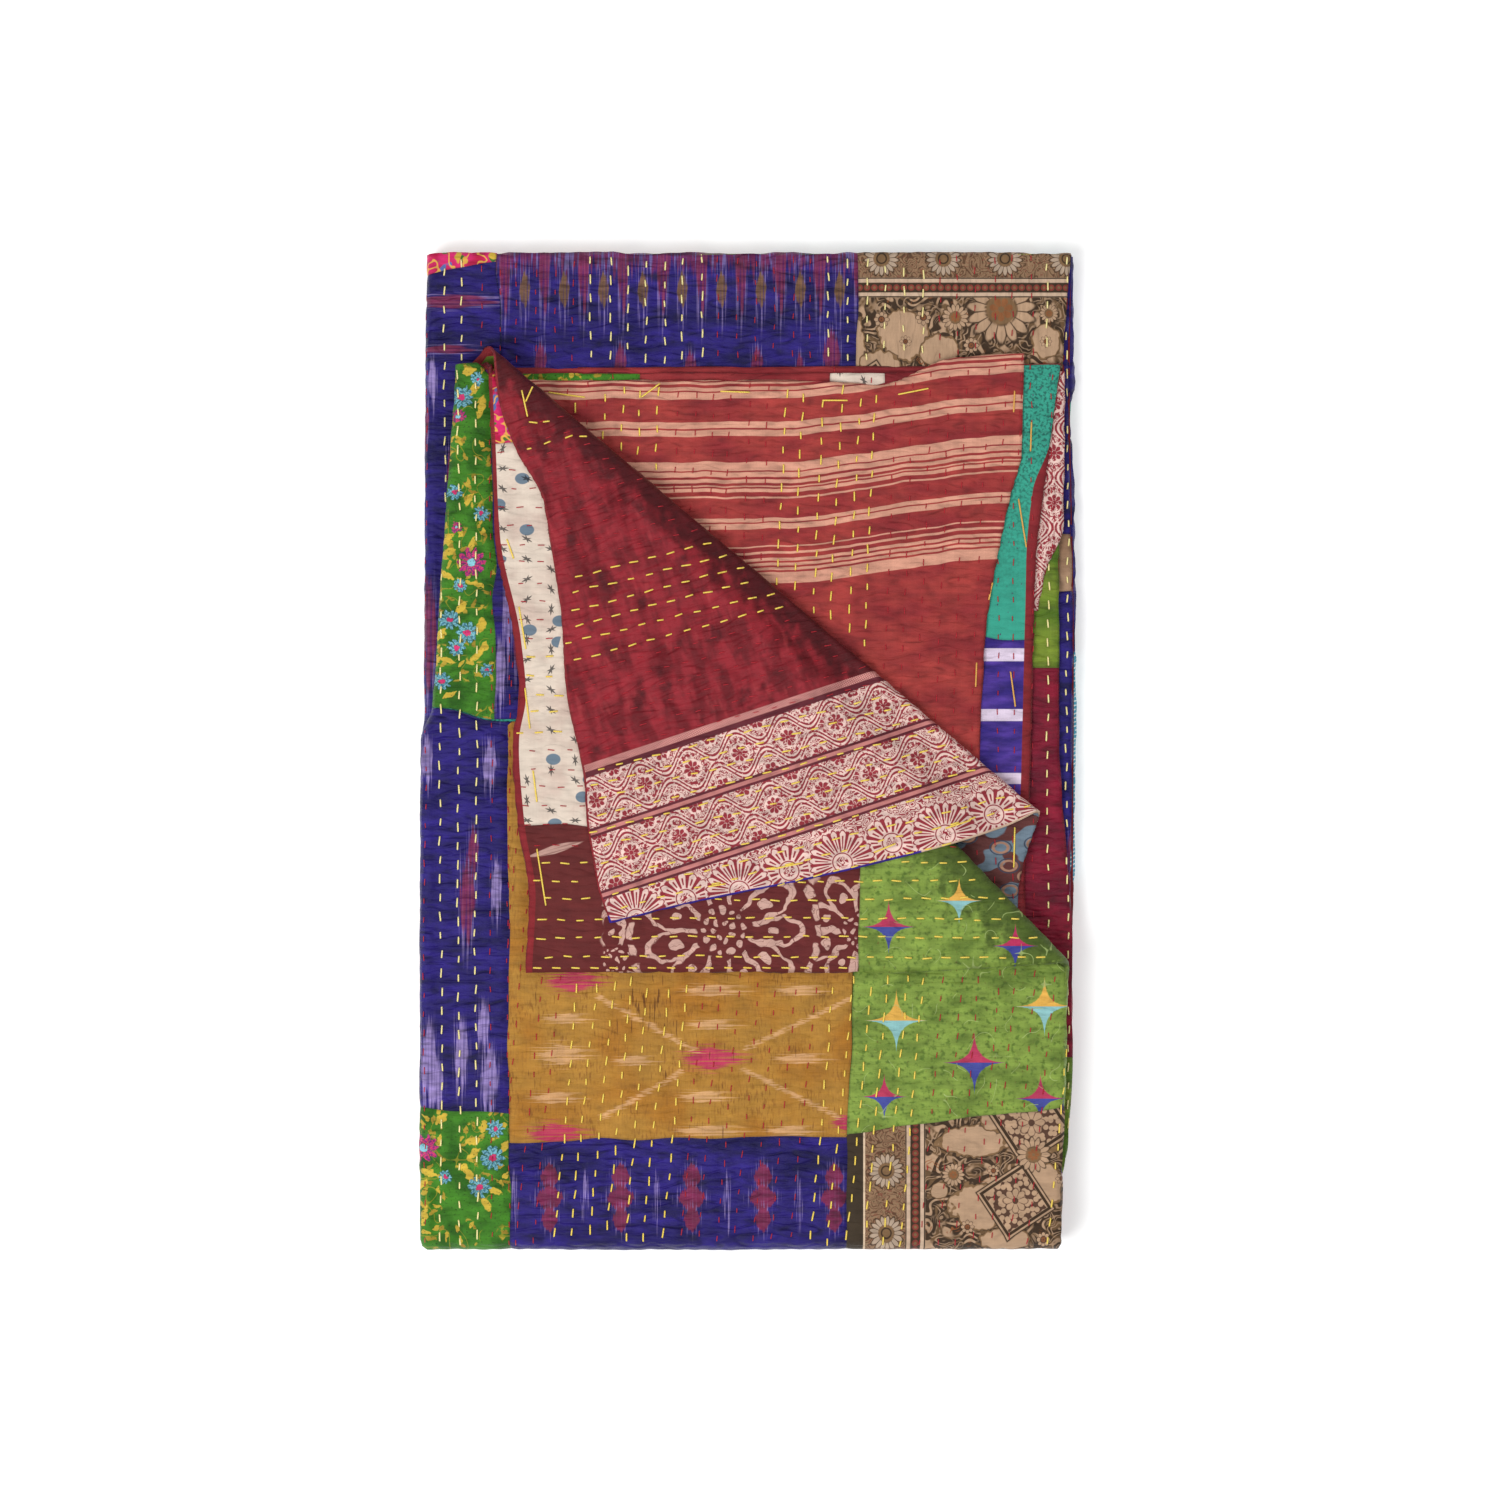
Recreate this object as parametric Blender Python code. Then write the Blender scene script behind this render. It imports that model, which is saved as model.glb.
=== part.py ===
"""Kantha quilt: one stitched cotton and silk cloth, folded sixteen layers deep.

Metres, +Z up. X runs across the folded quilt, Y along it, and the origin is the middle of the
underside. The cloth is one sheet. It is folded in half along its length, in half across, in half
across again, and then its hem end is turned up and over the rest, which makes a lower leaf of
eight layers with a slightly shorter upper leaf of eight on it. The upper leaf's right corner is
laid open: its four top layers are turned over together, and the fifth is turned over on its own.

The layers of the upper leaf are U1 (top) to U8, and those of the lower leaf L1 (top) to L8.
"""
import math

import bmesh
import bpy
from mathutils import Vector

# Cloth
SHEET = 0.0013          # two or three stitched layers of old sari cloth
AIR = 0.0005            # between neighbouring layers
TURNED_AIR = 0.0008     # under the layers that are turned over

# Folded size, between the creases
PANEL = 0.3838          # each of the four panels, across
UPPER = 0.5143          # bottom fold to the hem end, on the upper leaf
LOWER = 0.5846          # bottom fold to the top fold, on the lower leaf
LEFT_CREASE = -0.1908
BOTTOM_CREASE = -0.2885

# Folds: the cloth taken up by the bend, and how far it bulges for its height
BULGE = 0.6
TOP_BEND = 0.003
RIGHT_BEND = 0.005
LEFT_BEND = 0.010
BOTTOM_BEND = 0.020
PACK_BEND = 0.010
FLAP_BEND = 0.012

# Mesh: cells along each panel, leaf and bend
PANEL_CELLS = 6
LEAF_CELLS = 7
BEND_CELLS = {"top": 3, "right": 4, "left": 6, "bottom": 6, "pack": 5, "flap": 5}


def stack(layers):
    """Height of a pile of layers."""
    return layers * SHEET + (layers - 1) * AIR


# Sheet: X is the way across the cloth, from its side hem, and Y the way along it, from its hem
LEFT_FOLD = PANEL + LEFT_BEND
RIGHT_FOLD = LEFT_FOLD + PANEL
WIDTH = 2 * RIGHT_FOLD + RIGHT_BEND
BOTTOM_FOLD = UPPER + BOTTOM_BEND
TOP_FOLD = BOTTOM_FOLD + LOWER
LENGTH = 2 * TOP_FOLD + TOP_BEND

# Heights of the upper leaf's layers
PACK_TOP = stack(16)
PACK_BOTTOM = PACK_TOP - stack(4)
FLAP_TOP = PACK_BOTTOM - AIR
PACK_AXIS = PACK_TOP + TURNED_AIR / 2
TURNED_TOP = 2 * PACK_AXIS - PACK_BOTTOM

# Flap: its fold rises from a low roll to clear the turned pack
FLAP_ROLL = 0.0022
FLAP_LIFT = TURNED_TOP + AIR - (FLAP_TOP + 2 * FLAP_ROLL)
LIFT_FULL = 0.007       # from the pack's crease
LIFT_NONE = 0.035
LIFT_STEPS = 3

# Settling: the pile is looser in the middle and thinner where few hems lie on each other
RIPPLE = 0.02
RIPPLE_ACROSS = 0.31
RIPPLE_ALONG = 0.42
SLUMP = 0.06
SLUMP_START = 0.06
SLUMP_END = 0.20

# Edges of the folded layers, in millimetres. Columns: along (Y), across (X).
LEFT_EDGES = {
    "lower": [(297, -192), (194, -193), (27, -193.5), (3, -195.5), (-297, -195)],
    "upper": [(223, -174), (113, -182), (24, -188.5), (6, -195), (-238, -195.5), (-297, -195)],
}
RIGHT_EDGES = {
    "lower spine": [(297, 193.5), (217, 194.5), (205, 191.5), (167, 194), (60, 195.5), (-77, 194.5),
                    (-129, 192), (-181, 191), (-260, 186), (-297, 185.5)],
    "L1": [(297, 192), (228, 187), (179, 185), (6, 185), (-29, 187), (-119, 193), (-181, 193),
           (-238, 190), (-260, 185.5), (-297, 182)],
    "L2": [(297, 192), (179, 186), (128, 184), (-59, 184.5), (-119, 188), (-297, 182)],
    "L3": [(297, 193), (226, 190.5), (60, 193.5), (-77, 192), (-297, 182)],
    "L4": [(297, 193), (226, 192), (60, 194.5), (-77, 194), (-297, 182)],
    "U8": [(226, 188.5), (134, 187.5), (104, 176), (30, 167), (-89, 165), (-297, 182)],
    "U7": [(231, 186), (179, 179), (113, 171), (-29, 167), (-89, 164), (-297, 182)],
    "U6": [(231, 164), (179, 162.5), (149, 155), (90, 143.5), (66, 140.5), (-18, 137.5),
           (-119, 140.5), (-297, 182)],
}
# Hem end of the upper leaf, in millimetres. Columns: across (X), along (Y).
TOP_HEMS = {
    "U6": [(-174, 221.5), (-136, 220.5), (30, 220.5), (78, 218), (120, 233.5), (164, 237)],
    "U7": [(-174, 224), (-136, 225), (90, 225), (129, 229), (186, 230.5)],
    "U8": [(-174, 225), (-136, 228), (129, 229), (189, 226.5)],
}
# Turned corners, in millimetres, as they lie. Columns: across (X), along (Y).
PACK_CREASE = [(-150, 225), (193, -129)]
PACK_HEM = [(-154, 223), (-152, 179), (-150, 125), (-139, 66), (-136, 30), (-140, 6), (-137, -41),
            (-130, -89), (-132, -128)]
PACK_SPINE = [(-132, -131), (-29, -131), (90, -131), (193, -129)]
FLAP_CREASE = [(-156, 241), (170, -35)]
FLAP_HEM = [(-148, 209), (-138, 179), (-121, 146), (-112, 90), (-107, 30), (-98, -12), (-95, -47),
            (-90, -77), (-82, -102)]
FLAP_SIDE = [(-82, -102), (-29, -89), (30, -77), (78, -66), (149, -46), (170, -37)]
# What stays unturned of the same edges. Columns as in the edges above.
PACK_SPINE_BELOW = [(-148, 189), (-208, 187.5), (-260, 186), (-297, 185.5)]
FLAP_HEM_START = [(-174, 223), (-163, 232), (-156, 241)]
FLAP_SIDE_BELOW = [(-86, 160), (-131, 158.5), (-297, 182)]


def millimetres(rows):
    return [(first / 1000, second / 1000) for first, second in rows]


def read(rows, at):
    """Second column of a table at a place in its first, on a smooth curve through the rows."""
    rows = sorted(rows)
    if at <= rows[0][0]:
        return rows[0][1]
    if at >= rows[-1][0]:
        return rows[-1][1]
    slopes = [(b[1] - a[1]) / (b[0] - a[0]) for a, b in zip(rows, rows[1:])]
    index = next(number for number in range(len(slopes)) if at <= rows[number + 1][0])
    start, end = rows[index], rows[index + 1]
    run = end[0] - start[0]
    part = (at - start[0]) / run
    here = slopes[index]
    leave = run * shared_slope(slopes[index - 1] if index else here, here)
    arrive = run * shared_slope(slopes[index + 1] if index + 1 < len(slopes) else here, here)
    return (start[1] * (1 + 2 * part) * (1 - part) ** 2 + leave * part * (1 - part) ** 2
            + end[1] * part ** 2 * (3 - 2 * part) + arrive * part ** 2 * (part - 1))


def shared_slope(one, other):
    """Slope of the curve at a row, between two spans, that never overshoots the rows."""
    return 2 * one * other / (one + other) if one * other > 0 else 0.0


def smooth(low, high, value):
    part = min(max((value - low) / (high - low), 0.0), 1.0)
    return part * part * (3 - 2 * part)


def turn(past, height, axis, bend):
    """Fold back what lies past a crease: the new distance past it and the new height."""
    if past <= 0:
        return past, height
    if past >= bend:
        return bend - past, 2 * axis - height
    angle = math.pi * past / bend
    radius = axis - height
    return BULGE * radius * math.sin(angle), axis - radius * math.cos(angle)


class Crease:
    """A slanting crease: cloth on its upper right side is turned over to the lower left."""

    def __init__(self, line, bend, bulge):
        start, end = [Vector(point) for point in millimetres(line)]
        along = (end - start).normalized()
        self.out = Vector((-along.y, along.x))
        self.start = start - self.out * bulge
        self.bend = bend

    def past(self, point):
        return (Vector(point[:2]) - self.start).dot(self.out)

    def unturned(self, rows):
        """Where points of the turned corner lay before it was turned."""
        points = [Vector(row) for row in millimetres(rows)]
        return [tuple(point + self.out * (self.bend - 2 * self.past(point))) for point in points]

    def lines(self, offsets):
        """Cutting planes along the crease, at distances past it."""
        normal = Vector((*self.out, 0))
        return [(Vector((*(self.start + self.out * offset), 0)), normal) for offset in offsets]


PACK = Crease(PACK_CREASE, PACK_BEND, BULGE * (PACK_AXIS - PACK_BOTTOM))
FLAP = Crease(FLAP_CREASE, FLAP_BEND, BULGE * (FLAP_ROLL + SHEET))


def swapped(rows):
    return [(second, first) for first, second in rows]


LEFT = {name: millimetres(rows) for name, rows in LEFT_EDGES.items()}
RIGHT = {name: millimetres(rows) for name, rows in RIGHT_EDGES.items()}
RIGHT["upper spine"] = swapped(PACK.unturned(PACK_SPINE)[:-1]) + millimetres(PACK_SPINE_BELOW)
RIGHT["U5"] = swapped(FLAP.unturned(FLAP_SIDE)[:-1]) + millimetres(FLAP_SIDE_BELOW)
HEM = {name: millimetres(rows) for name, rows in TOP_HEMS.items()}
HEM["pack"] = PACK.unturned(PACK_HEM)
HEM["U5"] = millimetres(FLAP_HEM_START) + FLAP.unturned(FLAP_HEM)
LEFT_BULGE = BULGE * (stack(4) + AIR / 2)
RIGHT_BULGE = BULGE * (stack(2) + AIR / 2)


def layer_edges(across, along):
    """Names of the left edge, right edge and top hem of the layer at a place on the sheet."""
    middle = abs(across - WIDTH / 2) <= WIDTH / 2 - LEFT_FOLD + LEFT_BEND / 2
    near_half = along <= LENGTH / 2
    upper = min(along, LENGTH - along) < UPPER + BOTTOM_BEND / 2
    near_side = across < WIDTH / 2
    if middle:
        return ("upper", "upper spine", "pack") if upper else ("lower", "lower spine", None)
    names = {(True, True): ("U8", "L1"), (True, False): ("U7", "L2"),
             (False, False): ("U6", "L3"), (False, True): ("U5", "L4")}
    above, below = names[near_side, near_half]
    return ("upper", above, above) if upper else ("lower", below, None)


def folded(across, along, height):
    """Place of a sheet point after the four square folds, with each layer's own edges."""
    past, z = turn(along - TOP_FOLD, height, SHEET + AIR / 2, TOP_BEND)
    y = TOP_FOLD + past
    past, z = turn(across - RIGHT_FOLD, z, stack(2) + AIR / 2, RIGHT_BEND)
    x = RIGHT_FOLD + past
    past, z = turn(LEFT_FOLD - x, z, stack(4) + AIR / 2, LEFT_BEND)
    x = -past
    past, z = turn(BOTTOM_FOLD - y, z, stack(8) + AIR / 2, BOTTOM_BEND)
    y = -past

    left_name, right_name, hem_name = layer_edges(across, along)
    spine = right_name.endswith("spine")

    def shifted(at):
        left = read(LEFT[left_name], at) + LEFT_BULGE
        right = read(RIGHT[right_name], at) - (RIGHT_BULGE if spine else 0)
        inside = min(max(x / PANEL, 0.0), 1.0)
        return left + (right - left) * inside + min(x, 0.0) + max(x - PANEL, 0.0)

    place = BOTTOM_CREASE + y
    if hem_name and y > 0:
        rise = read(HEM[hem_name], shifted(place)) - BOTTOM_CREASE
        place = BOTTOM_CREASE + y * rise / UPPER
    return Vector((shifted(place), place, z))


def turn_pack(point):
    """The four top layers, turned over together."""
    past = PACK.past(point)
    new_past, z = turn(past, point.z, PACK_AXIS, PACK_BEND)
    shift = PACK.out * (new_past - past)
    return Vector((point.x + shift.x, point.y + shift.y, z))


def turn_flap(point):
    """The fifth layer, turned over alone and lying over the turned pack."""
    past = FLAP.past(point)
    new_past, z = turn(past, point.z, FLAP_TOP + FLAP_ROLL, FLAP_BEND)
    shift = FLAP.out * (new_past - past)
    turned = Vector((point.x + shift.x, point.y + shift.y, z))
    share = (1 - math.cos(math.pi * min(max(past / FLAP_BEND, 0.0), 1.0))) / 2
    turned.z += FLAP_LIFT * share * (1 - smooth(LIFT_FULL, LIFT_NONE, PACK.past(turned)))
    return turned


def settle(point):
    wave = math.sin(2 * math.pi * (point.x / RIPPLE_ACROSS + 0.2))
    wave *= math.sin(2 * math.pi * (point.y / RIPPLE_ALONG + 0.1))
    share = 1 + RIPPLE * wave - SLUMP * smooth(SLUMP_START, SLUMP_END, point.x)
    return Vector((point.x, point.y, point.z * share))


def steps(spans):
    """Grid lines along the sheet, from a list of spans and their numbers of cells."""
    lines = [0.0]
    for span, cells in spans:
        start = lines[-1]
        lines += [start + span * index / cells for index in range(1, cells + 1)]
    return lines


def folded_sheet(mesh):
    """The sheet as a closed grid, top and underside, after the square folds."""
    panel = (PANEL, PANEL_CELLS)
    left = (LEFT_BEND, BEND_CELLS["left"])
    bottom = (BOTTOM_BEND, BEND_CELLS["bottom"])
    columns = steps([panel, left, panel, (RIGHT_BEND, BEND_CELLS["right"]), panel, left, panel])
    rows = steps([(UPPER, LEAF_CELLS), bottom, (LOWER, LEAF_CELLS), (TOP_BEND, BEND_CELLS["top"]),
                  (LOWER, LEAF_CELLS), bottom, (UPPER, LEAF_CELLS)])
    part = mesh.faces.layers.int.new("part")
    grids = [[[mesh.verts.new(folded(u, v, height)) for v in rows] for u in columns]
             for height in (0.0, SHEET)]
    under, over = grids

    def add(corners, across, along):
        face = mesh.faces.new(corners)
        face.smooth = True
        face[part] = part_of(across, along)

    for i in range(len(columns) - 1):
        for j in range(len(rows) - 1):
            place = ((columns[i] + columns[i + 1]) / 2, (rows[j] + rows[j + 1]) / 2)
            ring = [(i, j), (i + 1, j), (i + 1, j + 1), (i, j + 1)]
            add([over[a][b] for a, b in ring], *place)
            add([under[a][b] for a, b in reversed(ring)], *place)
    rim = [(i, 0) for i in range(len(columns))]
    rim += [(len(columns) - 1, j) for j in range(1, len(rows))]
    rim += [(i, len(rows) - 1) for i in range(len(columns) - 2, -1, -1)]
    rim += [(0, j) for j in range(len(rows) - 2, 0, -1)]
    for (a, b), (c, d) in zip(rim, rim[1:] + rim[:1]):
        corners = [under[a][b], under[c][d], over[c][d], over[a][b]]
        add(corners, (columns[a] + columns[c]) / 2, (rows[b] + rows[d]) / 2)


STAYS, IN_PACK, IN_FLAP = 0, 1, 2


def part_of(across, along):
    """Which turned part, if any, a place on the sheet is in."""
    hem_name = layer_edges(across, along)[2]
    bending = abs(abs(across - WIDTH / 2) - (WIDTH / 2 - PANEL - LEFT_BEND / 2)) < LEFT_BEND / 2
    if bending or min(along, LENGTH - along) > UPPER:
        return STAYS
    return {"pack": IN_PACK, "U5": IN_FLAP}.get(hem_name, STAYS)


def cut(mesh, part_number, lines):
    """Cut one part's faces along lines, so that it can bend there."""
    part = mesh.faces.layers.int["part"]
    for place, normal in lines:
        faces = [face for face in mesh.faces if face[part] == part_number]
        edges = {edge for face in faces for edge in face.edges}
        verts = {vert for face in faces for vert in face.verts}
        bmesh.ops.bisect_plane(mesh, geom=[*faces, *edges, *verts], dist=1e-6,
                               plane_co=place, plane_no=normal)


def part_verts(mesh, part_number):
    part = mesh.faces.layers.int["part"]
    return {vert for face in mesh.faces if face[part] == part_number for vert in face.verts}


def spread(start, end, cells):
    return [start + (end - start) * index / cells for index in range(cells + 1)]


def lift_lines():
    """Lines along the pack's crease as seen on the flap, where they lay before it was turned."""
    lines = []
    for place, normal in PACK.lines(spread(LIFT_FULL, LIFT_NONE, LIFT_STEPS)):
        flat = Vector(place[:2])
        flat += FLAP.out * (FLAP.bend - 2 * FLAP.past(flat))
        mirrored = Vector(normal[:2]).reflect(FLAP.out)
        lines.append((Vector((*flat, 0)), Vector((*mirrored, 0))))
    return lines


def make_quilt():
    mesh = bmesh.new()
    folded_sheet(mesh)
    cut(mesh, IN_PACK, PACK.lines(spread(0, PACK_BEND, BEND_CELLS["pack"])))
    cut(mesh, IN_FLAP, FLAP.lines(spread(0, FLAP_BEND, BEND_CELLS["flap"])) + lift_lines())
    bmesh.ops.triangulate(mesh, faces=[face for face in mesh.faces if len(face.verts) > 3])
    for vert in part_verts(mesh, IN_PACK):
        vert.co = turn_pack(vert.co)
    for vert in part_verts(mesh, IN_FLAP):
        vert.co = turn_flap(vert.co)
    for vert in mesh.verts:
        vert.co = settle(vert.co)
    spans = [[vert.co[axis] for vert in mesh.verts] for axis in range(2)]
    middle = Vector([(min(span) + max(span)) / 2 for span in spans] + [0])
    bmesh.ops.translate(mesh, verts=mesh.verts, vec=-middle)

    data = bpy.data.meshes.new("quilt")
    mesh.to_mesh(data)
    mesh.free()
    data.set_sharp_from_angle(angle=math.radians(50))
    quilt = bpy.data.objects.new("quilt", data)
    bpy.context.scene.collection.objects.link(quilt)
    return quilt


def cloth_material():
    material = bpy.data.materials.new("stitched cloth")
    material.use_nodes = True
    shader = material.node_tree.nodes["Principled BSDF"]
    shader.inputs["Base Color"].default_value = (0.12, 0.02, 0.10, 1)
    shader.inputs["Roughness"].default_value = 0.6
    shader.inputs["Metallic"].default_value = 0.0
    return material


def main():
    for item in list(bpy.data.objects):
        bpy.data.objects.remove(item, do_unlink=True)
    make_quilt().data.materials.append(cloth_material())


main()
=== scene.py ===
"""Kantha quilt, folded: its patches, hems, running stitches and their cloths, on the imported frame.

Metres, +Z up. The cloth is one sheet with a place (across, along) for each of its points, and it is
folded here as in the solid. Patches are finer sheets just outside it, laid out by where they show
in the photograph, and the stitches lie on whatever shows from above or below.
"""
import math
from collections import namedtuple

import bmesh
import bpy
import numpy as np
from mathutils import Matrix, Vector
from mathutils.bvhtree import BVHTree


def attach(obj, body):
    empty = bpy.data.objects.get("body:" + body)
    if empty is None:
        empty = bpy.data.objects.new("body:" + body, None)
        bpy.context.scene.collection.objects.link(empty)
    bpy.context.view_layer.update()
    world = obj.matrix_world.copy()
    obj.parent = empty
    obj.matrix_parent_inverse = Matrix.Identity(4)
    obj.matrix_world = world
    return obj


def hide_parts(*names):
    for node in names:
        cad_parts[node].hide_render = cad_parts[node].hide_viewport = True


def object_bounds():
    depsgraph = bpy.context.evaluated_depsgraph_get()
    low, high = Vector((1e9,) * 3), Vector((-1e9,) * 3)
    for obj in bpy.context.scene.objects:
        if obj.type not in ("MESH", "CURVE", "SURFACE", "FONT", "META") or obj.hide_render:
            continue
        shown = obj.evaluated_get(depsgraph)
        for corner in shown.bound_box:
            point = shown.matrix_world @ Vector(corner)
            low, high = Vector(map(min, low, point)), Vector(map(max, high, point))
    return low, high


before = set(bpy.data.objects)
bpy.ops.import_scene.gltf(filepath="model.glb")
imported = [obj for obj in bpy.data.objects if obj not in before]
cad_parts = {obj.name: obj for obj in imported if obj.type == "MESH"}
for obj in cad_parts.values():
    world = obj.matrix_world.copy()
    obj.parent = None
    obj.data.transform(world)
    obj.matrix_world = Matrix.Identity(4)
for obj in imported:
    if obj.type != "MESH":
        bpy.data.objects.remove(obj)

CAD_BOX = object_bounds()

# ---------- the sheet and its folds
# The cloth, and the air between its layers and under those that are turned over.
SHEET, AIR, TURNED_AIR = 0.0013, 0.0005, 0.0008
# Each panel across, and the upper and lower leaf along, from the bottom crease.
PANEL, UPPER, LOWER = 0.3838, 0.5143, 0.5846
BOTTOM_CREASE = -0.2885
# Folds: how far one bulges for its height, and the cloth that each one takes up.
BULGE = 0.6
TOP_BEND, RIGHT_BEND, LEFT_BEND, BOTTOM_BEND = 0.003, 0.005, 0.010, 0.020
PACK_BEND, FLAP_BEND = 0.010, 0.012


def stack(layers):
    """Height of a pile of layers."""
    return layers * SHEET + (layers - 1) * AIR


# Places of the folds on the flat sheet, and its size.
LEFT_FOLD = PANEL + LEFT_BEND
RIGHT_FOLD = LEFT_FOLD + PANEL
WIDTH = 2 * RIGHT_FOLD + RIGHT_BEND
BOTTOM_FOLD = UPPER + BOTTOM_BEND
TOP_FOLD = BOTTOM_FOLD + LOWER
LENGTH = 2 * TOP_FOLD + TOP_BEND
# Heights of the four layers that are turned over together, and of the one turned over alone.
PACK_TOP = stack(16)
PACK_BOTTOM = PACK_TOP - stack(4)
FLAP_TOP = PACK_BOTTOM - AIR
PACK_AXIS = PACK_TOP + TURNED_AIR / 2
TURNED_TOP = 2 * PACK_AXIS - PACK_BOTTOM
FLAP_ROLL = 0.0022
FLAP_LIFT = TURNED_TOP + AIR - (FLAP_TOP + 2 * FLAP_ROLL)
LIFT_FULL, LIFT_NONE = 0.007, 0.035  # from the pack's crease
# Settling: the pile is looser in the middle, and thinner at the right where few hems overlap.
RIPPLE, RIPPLE_ACROSS, RIPPLE_ALONG = 0.02, 0.31, 0.42
SLUMP, SLUMP_START, SLUMP_END = 0.06, 0.06, 0.20
RIM, RIM_BULGE = 0.002, 0.0005  # cloth that goes round the edge of the sheet
OVERLAP = 0.003  # what a patch keeps past an edge or a crease

# Edges of the folded layers, in millimetres, as in the solid. Columns: along (Y), across (X).
LEFT_EDGES = {
    "lower": [(297, -192), (194, -193), (27, -193.5), (3, -195.5), (-297, -195)],
    "upper": [(223, -174), (113, -182), (24, -188.5), (6, -195), (-238, -195.5), (-297, -195)],
}
RIGHT_EDGES = {
    "lower spine": [(297, 193.5), (217, 194.5), (205, 191.5), (167, 194), (60, 195.5), (-77, 194.5),
                    (-129, 192), (-181, 191), (-260, 186), (-297, 185.5)],
    "L1": [(297, 192), (228, 187), (179, 185), (6, 185), (-29, 187), (-119, 193), (-181, 193),
           (-238, 190), (-260, 185.5), (-297, 182)],
    "L2": [(297, 192), (179, 186), (128, 184), (-59, 184.5), (-119, 188), (-297, 182)],
    "L3": [(297, 193), (226, 190.5), (60, 193.5), (-77, 192), (-297, 182)],
    "L4": [(297, 193), (226, 192), (60, 194.5), (-77, 194), (-297, 182)],
    "U8": [(226, 188.5), (134, 187.5), (104, 176), (30, 167), (-89, 165), (-297, 182)],
    "U7": [(231, 186), (179, 179), (113, 171), (-29, 167), (-89, 164), (-297, 182)],
    "U6": [(231, 164), (179, 162.5), (149, 155), (90, 143.5), (66, 140.5), (-18, 137.5),
           (-119, 140.5), (-297, 182)],
}
# Hem end of the upper leaf, in millimetres. Columns: across (X), along (Y).
TOP_HEMS = {
    "U6": [(-174, 221.5), (-136, 220.5), (30, 220.5), (78, 218), (120, 233.5), (164, 237)],
    "U7": [(-174, 224), (-136, 225), (90, 225), (129, 229), (186, 230.5)],
    "U8": [(-174, 225), (-136, 228), (129, 229), (189, 226.5)],
}
# Turned corners, in millimetres, as they lie. Columns: across (X), along (Y).
PACK_CREASE = [(-150, 225), (193, -129)]
PACK_HEM = [
    (-154, 223), (-152, 179), (-150, 125), (-139, 66), (-136, 30), (-140, 6), (-137, -41), (-130, -89),
    (-132, -128),
]
PACK_SPINE = [(-132, -131), (-29, -131), (90, -131), (193, -129)]
FLAP_CREASE = [(-156, 241), (170, -35)]
FLAP_HEM = [
    (-148, 209), (-138, 179), (-121, 146), (-112, 90), (-107, 30), (-98, -12), (-95, -47), (-90, -77),
    (-82, -102),
]
FLAP_SIDE = [(-82, -102), (-29, -89), (30, -77), (78, -66), (149, -46), (170, -37)]
PACK_SPINE_BELOW = [(-148, 189), (-208, 187.5), (-260, 186), (-297, 185.5)]
FLAP_HEM_START = [(-174, 223), (-163, 232), (-156, 241)]
FLAP_SIDE_BELOW = [(-86, 160), (-131, 158.5), (-297, 182)]


def millimetres(rows):
    return [(first / 1000, second / 1000) for first, second in rows]


def swapped(rows):
    return [(second, first) for first, second in rows]


def shared_slope(one, other):
    total = np.where(one + other == 0, 1, one + other)
    return np.where(one * other > 0, 2 * one * other / total, 0)


def read(rows, at):
    """Second column of a table at places in its first, on a smooth curve through the rows."""
    firsts, seconds = np.array(sorted(rows)).T
    run = np.diff(firsts)
    slope = np.diff(seconds) / run
    leave = run * shared_slope(np.append(slope[:1], slope[:-1]), slope)
    arrive = run * shared_slope(np.append(slope[1:], slope[-1:]), slope)
    at = np.clip(at, firsts[0], firsts[-1])
    index = np.clip(np.searchsorted(firsts, at) - 1, 0, len(slope) - 1)
    part = (at - firsts[index]) / run[index]
    return (seconds[index] * (1 + 2 * part) * (1 - part) ** 2
            + leave[index] * part * (1 - part) ** 2
            + seconds[index + 1] * part ** 2 * (3 - 2 * part)
            + arrive[index] * part ** 2 * (part - 1))


def smooth(low, high, value):
    part = np.clip((value - low) / (high - low), 0, 1)
    return part * part * (3 - 2 * part)


def turn(past, height, axis, bend):
    """Fold back what lies past a crease: the new distance past it and the new height."""
    angle = np.pi * np.clip(past / bend, 0, 1)
    radius = axis - height
    bent = BULGE * radius * np.sin(angle)
    return (np.where(past <= 0, past, np.where(past >= bend, bend - past, bent)),
            np.where(past <= 0, height, axis - radius * np.cos(angle)))


class Crease:
    """A slanting crease: cloth on its upper right side is turned over to the lower left."""

    def __init__(self, line, bend, bulge):
        start, end = np.array(millimetres(line))
        along = (end - start) / np.linalg.norm(end - start)
        self.out = np.array([-along[1], along[0]])
        self.start = start - self.out * bulge
        self.bend = bend

    def past(self, x, y):
        return (x - self.start[0]) * self.out[0] + (y - self.start[1]) * self.out[1]

    def moved(self, x, y, distance):
        return x + self.out[0] * distance, y + self.out[1] * distance

    def unturned(self, x, y):
        """Where points of the turned corner lay before it was turned."""
        return self.moved(x, y, self.bend - 2 * self.past(x, y))

    def unturned_rows(self, rows):
        return [self.unturned(x, y) for x, y in millimetres(rows)]

    def turned(self, x, y, z, axis):
        past = self.past(x, y)
        new_past, z = turn(past, z, axis, self.bend)
        return (*self.moved(x, y, new_past - past), z, past)


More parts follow.
